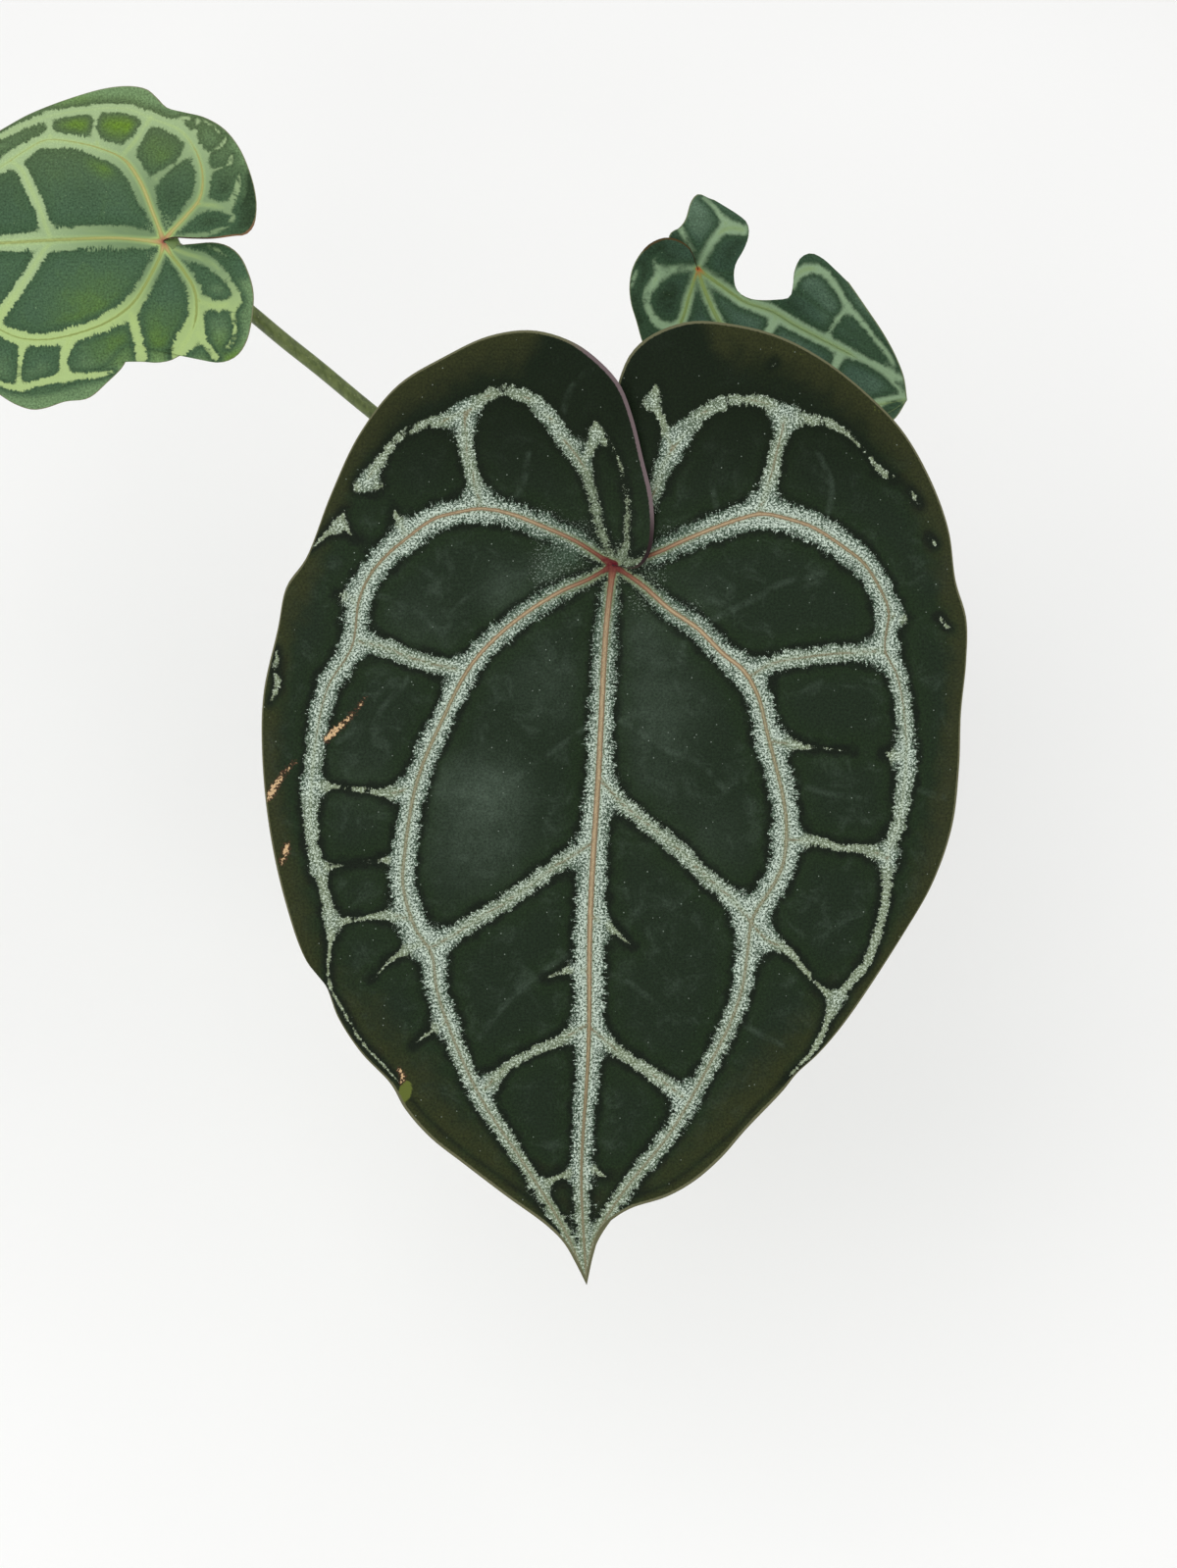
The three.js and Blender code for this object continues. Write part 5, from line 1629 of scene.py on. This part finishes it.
BACK_LEAF_RIGHT = HalfPlan(
    inner=((5, -1), (16, -2), (27, -5), (38, -12), (48, -20), (56, -27), (61, -34)),
    outer=((0.5, 1.5), (3.5, 7), (6.5, 11.5), (10.5, 13.5), (14.5, 13), (23.5, 11), (34, 4), (40, -2),
           (46, -11.5), (51, -17), (55.5, -22.5), (59.5, -27.5), (62, -33)),
    edge=((-2.5, 3), (-6.5, 6), (-9, 9.5), (-8, 11.5), (-6, 12.5), (-4, 15), (-2, 21), (0, 23), (4, 21.5),
          (14.5, 18.5), (26.5, 13.5), (37, 7.5), (45, -2.5), (51, -11), (57, -20), (60.5, -26.5), (63, -33)),
    veins=(
        ((0, 0, 1.6), (1.4, 3, 1.8), (3.5, 7, 2.2), (6.3, 10.8, 2.8), (9.5, 12.6, 3.8), (13.8, 12, 3)),
        ((8.5, 14, 3), (6.5, 17, 1.6), (4.5, 19.5, 1), (1.5, 22, 0.8)),
        ((-1.5, 5, 0.8), (-3.3, 8.5, 1), (-5.3, 12.3, 1.6)),
        ((0, 0, 1), (5, -4, 1.6), (10, -8, 1.8), (13.5, -14, 1.4)),
        ((29, -5, 2), (30.5, -1.5, 3), (34, 0.2, 3.2), (38.5, -1, 2.4), (43, -6.5, 1.6), (46, -11.5, 1.8),
         (50, -16, 1.5), (54, -21, 1.2), (58, -26, 1.1), (59.8, -29, 0.5)),
        ((45.5, -12, 1.6), (41.5, -17, 0.8), (39, -22, 1.6)),
        ((44, -25, 2.8), (52, -28.8, 2.5), (58, -31.6, 2.4), (62.3, -33.8, 1.4)),
    ))

BACK_TONES = ((0, 0), (0.02, 0.12), (0.04, 0.34), (0.08, 0.6), (0.25, 0.9), (1, 1))

BACK_LEAF = Leaf(
    name="back_leaf", node="blade_back", slot="back_blade", finish=SHADED, seat=(26.5, 95.5, 64),
    towards_tip=(0.85, -0.53), reach=75, lobe=23, half_width=34, lean=(-0.2, 0.12), droop=16, lobe_droop=3,
    fold=2, curl=4, wave=1, waves=3, rib_height=1.3, quilt=1.3, quilt_reach=4.0, rows=120,
    columns=(15, 15, 14),
    midrib=((0, 0), (7, -5), (14.5, -10), (23, -13), (29.5, -17), (38, -21.5), (47.5, -26.5), (57, -32),
            (64, -40)),
    midrib_band=((0, 0.9), (0.08, 1.7), (0.3, 2.1), (0.5, 1.9), (0.68, 1.6), (0.76, 0.5), (1, 0.5)),
    midrib_line=((0, 0.9), (0.03, 0.5), (0.1, 0.4), (0.4, 0.3), (0.7, 0.2), (0.75, -1), (1, -1)),
    lesser_line=0.0, web=0.7,
    tones=BACK_TONES, midrib_tones=BACK_TONES,
    # Soft patches of painted sheen, and of painted shade where the strength is below 0.
    sheen_and_shade_patches=((0, 15, 6, 0.5), (-1, 20, 4, 0.3), (33, -2, 4, 0.5), (38, -9, 6, 0.25), (41, -14, 4, 0.2),
           (50, -10, 4, 0.3), (28, -22, 5, 0.3), (18, -14, 4, 0.3), (54, -34, 4, 0.2), (8, -12, 4, 0.2),
           (-12, 4, 8, -1), (-18, -3, 7, -1), (-17, -14, 7, -1), (-8, -9, 6, -0.8), (9, 4, 4, -0.9),
           (13, 9, 3, -0.8), (28, -11, 4, -0.8), (33, -13, 4, -0.4), (55, -26, 5, -0.5), (47, -21, 4, -0.4),
           (-1, -12, 3, -0.6)),
    stalk=((6, 4.5, 131), (12, 7, 170), (24, 11, 222), (38, 15, 274)),
    halves={Side.LEFT: BACK_LEAF_LEFT, Side.RIGHT: BACK_LEAF_RIGHT},
    bite=((1, 23.5), (7, 20), (12.5, 16.5), (14.8, 14.5), (15.6, 12), (15.2, 9), (13.8, 5.6), (11.5, 1.5),
          (11, -2.5), (12, -6.5), (16, -9), (24, -9.3), (28, -8.5), (29, -5), (29.5, -0.5), (31.5, 3.6),
          (34.5, 4.9), (38, 3.4), (42.5, -0.6), (47, -4.6), (50, -5), (44, 20), (20, 32)))

LEAVES = (MAIN_LEAF, LEFT_LEAF, BACK_LEAF)


# Stalks, stem and sheaths

@dataclass
class Stalk:
    """A leaf's stalk, with a broad foot and a swollen knee under the blade."""

    KNEE_LENGTH = 16.0

    name: str
    node: str
    leaf: Leaf
    foot_radius: float = 3.6
    radius: float = 2.3
    knee_radius: float = 3.1
    groove: float = 0.35
    rings: int = 170
    sides: int = 28

    def radius_at(self, share: Array, angle: Array) -> Array:
        """Gives the stalk's radius.

        Args:
            share: The share of the way up.
            angle: The angle round.

        Returns:
            The radius in millimetres.
        """
        foot = (self.foot_radius - self.radius) * (1 - smooth(0, 0.22, share))
        knee = (self.knee_radius - self.radius) * smooth(0.9, 0.95, share)
        knee *= 1 - 0.25 * smooth(0.985, 1, share)
        groove = self.groove * np.exp(-((angle - math.pi) / 0.45) ** 2) * (1 - smooth(0.88, 0.93, share))
        creases = 0.07 * np.sin(150 * share * 2 * math.pi) * smooth(0.9, 0.93, share)
        ridges = 0.05 * np.sin(9 * angle) + 0.06 * np.sin(41 * share + 2 * np.sin(angle))
        return self.radius + foot + knee - groove + creases + ridges

    def build(self, skin: Material) -> Piece:
        """Builds and dresses the stalk.

        Args:
            skin: Its material.

        Returns:
            The stalk.
        """
        stalk = swept(self.name, self.leaf.stalk_line(), self.rings, self.sides, self.radius_at)
        stalk.data.materials.append(skin)
        return place_piece(stalk, 50, "stalk_skin", self.node)


@dataclass
class Stem:
    """The short stem, ringed by old leaf scars, and its thick roots."""

    foot: float = 66.0
    top: float = 148.0
    radius: float = 9.0
    scars: int = 7
    root_seed: int = 7
    root_count: int = 6
    root_radius: float = 2.5
    root_start: float = 104.0
    root_reach: float = 20.0
    line: FlowLine = field(init=False)

    def __post_init__(self) -> None:
        """Lays the stem's line."""
        self.line = FlowLine(((-2, 3, self.foot), (-1, 1.5, 100), (0, 0.5, 125), (0, 0, self.top)))

    def radius_at(self, share: Array, angle: Array) -> Array:
        """Gives the stem's radius.

        Args:
            share: The share of the way up.
            angle: The angle round.

        Returns:
            The radius in millimetres.
        """
        tilt = share + 0.012 * np.sin(angle + 5 * share)
        rings = 0.7 * np.sqrt(np.abs(np.sin(math.pi * self.scars * tilt)))
        rings += 0.18 * np.sin(math.pi * self.scars * 6 * tilt) * np.abs(np.cos(math.pi * self.scars * tilt))
        lumps = 0.35 * np.sin(3 * angle + 9 * share) * np.sin(11 * share + angle) + 0.12 * np.sin(17 * angle)
        body = (self.radius - 1.2 + rings + lumps) * (1 - 0.55 * smooth(0.86, 1, share))
        return body * (0.7 + 0.3 * smooth(0, 0.15, share))

    def root_lines(self) -> list[FlowLine]:
        """Lays the roots, which leave the stem above the mix and dive into it.

        Returns:
            One line for each root.
        """
        draw = random_from(self.root_seed)
        lines = []
        for i in range(self.root_count):
            angle = 2 * math.pi * (i + 0.6 * draw()) / self.root_count + 0.5
            out = np.array((math.cos(angle), math.sin(angle)))
            start = self.root_start + 6 * draw()
            reach = self.root_reach + 14 * draw()
            swing = np.array((-out[1], out[0])) * 6 * (draw() - 0.5)
            stops = ((3, start + 1, 0), (11, start, 0.2), (reach * 0.75, start - 1, 0.7), (reach, 97, 1),
                     (reach + 2, 84, 1.1))
            lines.append(FlowLine([(*(out * away + swing * turn), height) for away, height, turn in stops]))
        return lines

    def _root_radius(self, number: int) -> RadiusAt:
        """Gives the radius of one root, warty and thinner towards its tip."""
        def radius(share: Array, angle: Array) -> Array:
            """Gives that root's radius."""
            warts = 0.14 * np.sin(3 * angle + 23 * share + number) * np.sin(31 * share + 2 * angle)
            return self.root_radius - 0.9 * share + warts
        return radius

    def build(self) -> Piece:
        """Builds and dresses the stem with its roots.

        Returns:
            The stem.
        """
        stem = swept("stem", self.line, 150, 56, self.radius_at)
        stem.data.materials.append(dress_stem())
        felt = dress_root()
        parts = [stem]
        for number, line in enumerate(self.root_lines()):
            root = swept(f"root_{number}", line, 44, 16, self._root_radius(number))
            root.data.materials.append(felt)
            parts.append(root)
        stem = join(parts, "stem_with_roots")
        return place_piece(stem, 45, "stem_skin", "stem_and_roots")


@dataclass
class Sheath:
    """A dry papery sheath that stands round the stem, a pointed trough."""

    name: str
    node: str
    stem: Stem
    angle: float
    foot: float
    height: float
    lean: float
    spread: float = math.radians(32)
    thickness: float = 0.7
    rows: int = 46
    columns: int = 26

    def build(self, paper: Material) -> Piece:
        """Builds and dresses the sheath.

        Args:
            paper: Its material.

        Returns:
            The sheath.
        """
        t = np.linspace(0, 1, self.rows + 1)[:, None]
        across = np.linspace(-1, 1, self.columns + 1)[None, :]
        torn = 1 - 0.1 * np.abs(np.sin(19 * t + self.angle)) * smooth(0.3, 1, t)
        turn = math.radians(self.angle) + self.spread * np.sqrt(np.maximum(0, 1 - t ** 2.2)) * across * torn
        height = self.foot + self.height * t * (1 - 0.04 * np.sin(9 * across) * t)
        share = np.minimum(1, (height - self.stem.foot) / (self.stem.top - self.stem.foot))
        centre = self.stem.line.at(share * self.stem.line.length)
        curl = 1.6 * t * across ** 2 * np.sin(5 * t + self.angle)
        ribs = 0.1 * np.sin(40 * across) + 0.25 * np.sin(7 * t + 4 * across) * t
        reach = self.stem.radius - 0.2 + self.lean * t ** 1.6 + curl * 0.6 + ribs
        rim = smooth(0, 0.12, 1 - np.abs(across)) * smooth(0, 0.04, t) * smooth(0, 0.04, 1 - t)
        faces = []
        for face, offset in (("outer", self.thickness * rim), ("inner", 0 * rim)):
            out = (reach + offset)[..., None]
            level = height * np.ones_like(turn)
            spots = centre[..., :2] + out * np.stack((np.cos(turn), np.sin(turn)), axis=-1)
            places = np.concatenate((spots, level[..., None]), axis=-1)
            faces.append(shaped_grid(f"{self.name}_{face}", places))
        sheath = join(faces, self.name)
        close_seams(sheath)
        sheath.data.materials.append(paper)
        return place_piece(sheath, 60, "papery_sheath", self.node)


# The pot and what fills it

def turned(name: str, profile: Points, sides: int) -> Piece:
    """Raises a disc ring by ring along a profile, so that it leaves a closed round body behind.

    Args:
        name: The piece's name.
        profile: Radius and height of each ring, in millimetres.
        sides: Steps round.

    Returns:
        The closed piece.
    """
    (radius, height), *rest = profile
    piece = added(bpy.ops.mesh.primitive_circle_add, name, vertices=sides, radius=radius * MM,
                  location=(0, 0, height * MM), fill_type="TRIFAN")
    bpy.ops.object.transform_apply(location=True)
    with editing(piece):
        for next_radius, next_height in rest:
            bpy.ops.mesh.extrude_region_move(
                TRANSFORM_OT_translate={"value": (0, 0, (next_height - height) * MM)})
            grow = next_radius / radius
            bpy.ops.transform.resize(value=(grow, grow, 1), center_override=(0, 0, next_height * MM))
            radius, height = next_radius, next_height
    close_seams(piece)
    return piece


@dataclass
class Pot:
    """The plain round pot, with a stepped rim and drain holes."""

    height: float = 118.0
    top_radius: float = 65.0
    base_radius: float = 46.0
    wall: float = 2.2
    floor: float = 2.6
    rim_height: float = 17.0
    rim_step: float = 2.4
    drain_count: int = 6
    drain_radius: float = 4.0
    drain_ring: float = 27.0
    sides: int = 128

    def outer(self, height: float) -> float:
        """Gives the outer radius of the tapered body at a height."""
        return self.base_radius + (self.top_radius - self.rim_step - self.base_radius) * height / self.height

    def build(self) -> Piece:
        """Builds and dresses the pot.

        Returns:
            The pot.
        """
        rim_foot = self.height - self.rim_height
        lip = self.top_radius - self.wall
        profile = (
            (self.base_radius - 5, 0.8), (self.base_radius - 4.4, 0), (self.base_radius - 2, 0),
            (self.base_radius - 0.5, 0.5), (self.base_radius, 2),
            (self.outer(rim_foot - 2), rim_foot - 2), (self.outer(rim_foot - 1) + 0.3, rim_foot - 0.6),
            (self.top_radius - 1.6, rim_foot - 0.1), (self.top_radius - 0.9, rim_foot + 0.2),
            (self.top_radius - 0.6, rim_foot + 1), (self.top_radius - 0.1, self.height - 1.4),
            (self.top_radius, self.height - 0.9), (self.top_radius - 0.4, self.height - 0.2),
            (self.top_radius - 0.9, self.height), (lip + 0.3, self.height), (lip - 0.3, self.height - 0.4),
            (lip - 0.6, self.height - 1.2), (lip - 1.2, rim_foot + 2),
            (self.outer(rim_foot) - self.wall, rim_foot),
            (self.outer(self.floor) - self.wall, self.floor + 1.5),
            (self.outer(self.floor) - self.wall - 1.5, self.floor),
        )
        pot = turned("pot_moulding", profile, self.sides)
        for i in range(self.drain_count):
            angle = 2 * math.pi * i / self.drain_count
            place = (self.drain_ring * math.cos(angle) * MM, self.drain_ring * math.sin(angle) * MM, 0)
            cut(pot, added(
                bpy.ops.mesh.primitive_cylinder_add, "drain", vertices=32, radius=self.drain_radius * MM,
                depth=4 * self.floor * MM, location=place))
        pot.data.materials.append(dress_pot())
        return place_piece(pot, 35, "pot_plastic", "pot")


@dataclass
class Mix:
    """The bark mix: a filling in the pot, covered with loose chips."""

    pot: Pot
    top: float = 100.0
    chips: int = 330
    ring: float = 55.0
    clear: float = 8.5
    masters: int = 4
    seed: int = 41

    def _master(self, finish: ChipFinish, number: int) -> Piece:
        """Models one chip about 1 metre across, to be shrunk as it is copied.

        Args:
            finish: Its kind.
            number: Which of the kind's chips it is.

        Returns:
            The chip.
        """
        chip = added(bpy.ops.mesh.primitive_cube_add, finish.kind.value, size=1)
        with editing(chip):
            bpy.ops.mesh.subdivide(number_cuts=1)
            bpy.ops.transform.vertex_random(offset=0.22, uniform=0.4, seed=number + 1)
            bpy.ops.mesh.normals_make_consistent(inside=False)
        chip.data.materials.append(finish.material())
        return chip

    def _lay(self, master: Piece, finish: ChipFinish, i: int, draw: Callable[[], float]) -> Piece:
        """Copies a chip to its place on the mix.

        Args:
            master: The chip to copy.
            finish: Its kind.
            i: Which of all the chips it is.
            draw: Draws random numbers.

        Returns:
            The copy.
        """
        chip = master.copy()
        chip.data = master.data.copy()
        bpy.context.collection.objects.link(chip)
        size = [(low + (high - low) * draw()) * MM for low, high in zip(finish.low, finish.high)]
        turn = Euler((0.9 * (draw() - 0.5), 0.9 * (draw() - 0.5), math.tau * draw())).to_matrix().to_4x4()
        away = self.clear + (self.ring - self.clear) * math.sqrt((i + 0.5) / self.chips)
        angle = GOLDEN_ANGLE * i + 0.5 * draw()
        height = self.top - 1.5 + 4 * draw()
        across, ahead = math.cos(angle), math.sin(angle)
        place = Matrix.Translation(Vector((away * across, away * ahead, height)) * MM)
        chip.data.transform(place @ turn @ Matrix.Diagonal((*size, 1)))
        spots = corners_of(chip) / MM
        inside = self.pot.outer(height - 6) - self.pot.wall - 0.5
        past = max(0.0, float(np.linalg.norm(spots[:, :2], axis=1).max()) - inside)
        chip.data.transform(Matrix.Translation(Vector((across, ahead, 0)) * (-past * MM)))
        note(chip, "tint", np.full(len(chip.data.vertices), draw()))
        return chip

    def build(self) -> Piece:
        """Builds and dresses the mix.

        Returns:
            The mix.
        """
        draw = random_from(self.seed)
        foot = self.pot.floor + CLEARANCE
        wall = self.pot.wall + CLEARANCE
        filling = turned("filling", (
            (self.pot.outer(foot) - wall - 2, foot), (self.pot.outer(foot + 2) - wall, foot + 2),
            (self.pot.outer(self.top - 2) - wall, self.top - 2)), 96)
        note(filling, "tint", np.full(len(filling.data.vertices), 0.1))
        kinds = [(finish, [self._master(finish, n) for n in range(self.masters)]) for finish in CHIP_FINISHES]
        filling.data.materials.append(kinds[0][1][0].data.materials[0])
        chips = []
        for i in range(self.chips):
            pick, share = draw(), 0.0
            for finish, masters in kinds:
                share += finish.share
                if pick < share:
                    break
            chips.append(self._lay(masters[i % self.masters], finish, i, draw))
        for _, masters in kinds:
            for master in masters:
                bpy.data.objects.remove(master)
        mix = join([filling, *chips], "potting_mix")
        return place_piece(mix, 30, "bark_mix", "bark_mix")


# The studio

@dataclass
class Studio:
    """A pale floor, soft light and the camera at the picture's viewing angle."""

    floor_size: float = 9.0
    sky: float = 0.8

    def _light(self, name: str, place: Spot, size: float, power: float) -> None:
        """Adds a soft square light that faces the plant.

        Args:
            name: The light's name.
            place: Where it hangs, in metres.
            size: Its side, in metres.
            power: Its power, in watts.
        """
        aim = Vector((-0.02, -0.1, 0.25))
        light = added(bpy.ops.object.light_add, name, type="AREA", location=place)
        light.data.size = size
        light.data.energy = power
        light.rotation_euler = (aim - Vector(place)).to_track_quat("-Z", "Y").to_euler()

    def _floor(self) -> None:
        """Lays the floor."""
        floor = added(bpy.ops.mesh.primitive_plane_add, "floor", size=self.floor_size)
        d = Dresser("pale_floor")
        cloud = d.noise(d.place(), 3.0, 2.0)
        colour = d.ramp(cloud, ((0.3, paint(246, 246, 245)), (0.7, paint(250, 250, 249))))
        floor.data.materials.append(d.finish(colour, 0.8, Specular_IOR_Level=0.1))

    def _camera(self) -> None:
        """Sets the camera where the blades' plans are laid out from."""
        camera = added(bpy.ops.object.camera_add, "camera")
        turn = Matrix((ACROSS, UP, FACING)).transposed().to_4x4()
        camera.matrix_world = Matrix.Translation(Vector(EYE * MM)) @ turn
        camera.data.sensor_fit = "VERTICAL"
        camera.data.sensor_height = SENSOR
        camera.data.lens = SENSOR * SIGHT_DISTANCE / SIGHT_HEIGHT
        bpy.context.scene.camera = camera

    def build(self) -> None:
        """Sets the stage."""
        scene = bpy.context.scene
        scene.view_settings.view_transform = "Standard"
        world = bpy.data.worlds.new("sky")
        world.use_nodes = True
        world.node_tree.nodes["Background"].inputs["Color"].default_value = (1, 1, 1, 1)
        world.node_tree.nodes["Background"].inputs["Strength"].default_value = self.sky
        scene.world = world
        self._floor()
        self._light("key", (-0.8, -0.7, 2.2), 2.2, 16)
        self._light("fill", (1.5, -0.6, 1.5), 1.4, 4)
        self._camera()
        logging.info("studio: floor, sky, two lights and the camera")


def main() -> None:
    """Builds the plant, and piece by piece."""
    logging.basicConfig(level=logging.INFO, format="%(message)s")
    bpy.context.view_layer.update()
    Studio().build()
    stem, pot = Stem(), Pot()
    for leaf in LEAVES:
        leaf.build()
    skin = dress_stalk()
    for name, leaf in zip(("main", "left", "back"), LEAVES):
        Stalk(name + "_stalk", "stalk_" + name, leaf).build(skin)
    stem.build()
    paper = dress_sheath()
    for name, angle, foot, height, lean in (
            ("right", -20, 116, 42, 6), ("left", 219, 113, 36, 7), ("back", 96, 118, 46, 5)):
        Sheath(name + "_sheath", "sheath_" + name, stem, angle, foot, height, lean).build(paper)
    pot.build()
    Mix(pot).build()


if __name__ == "__main__":
    main()
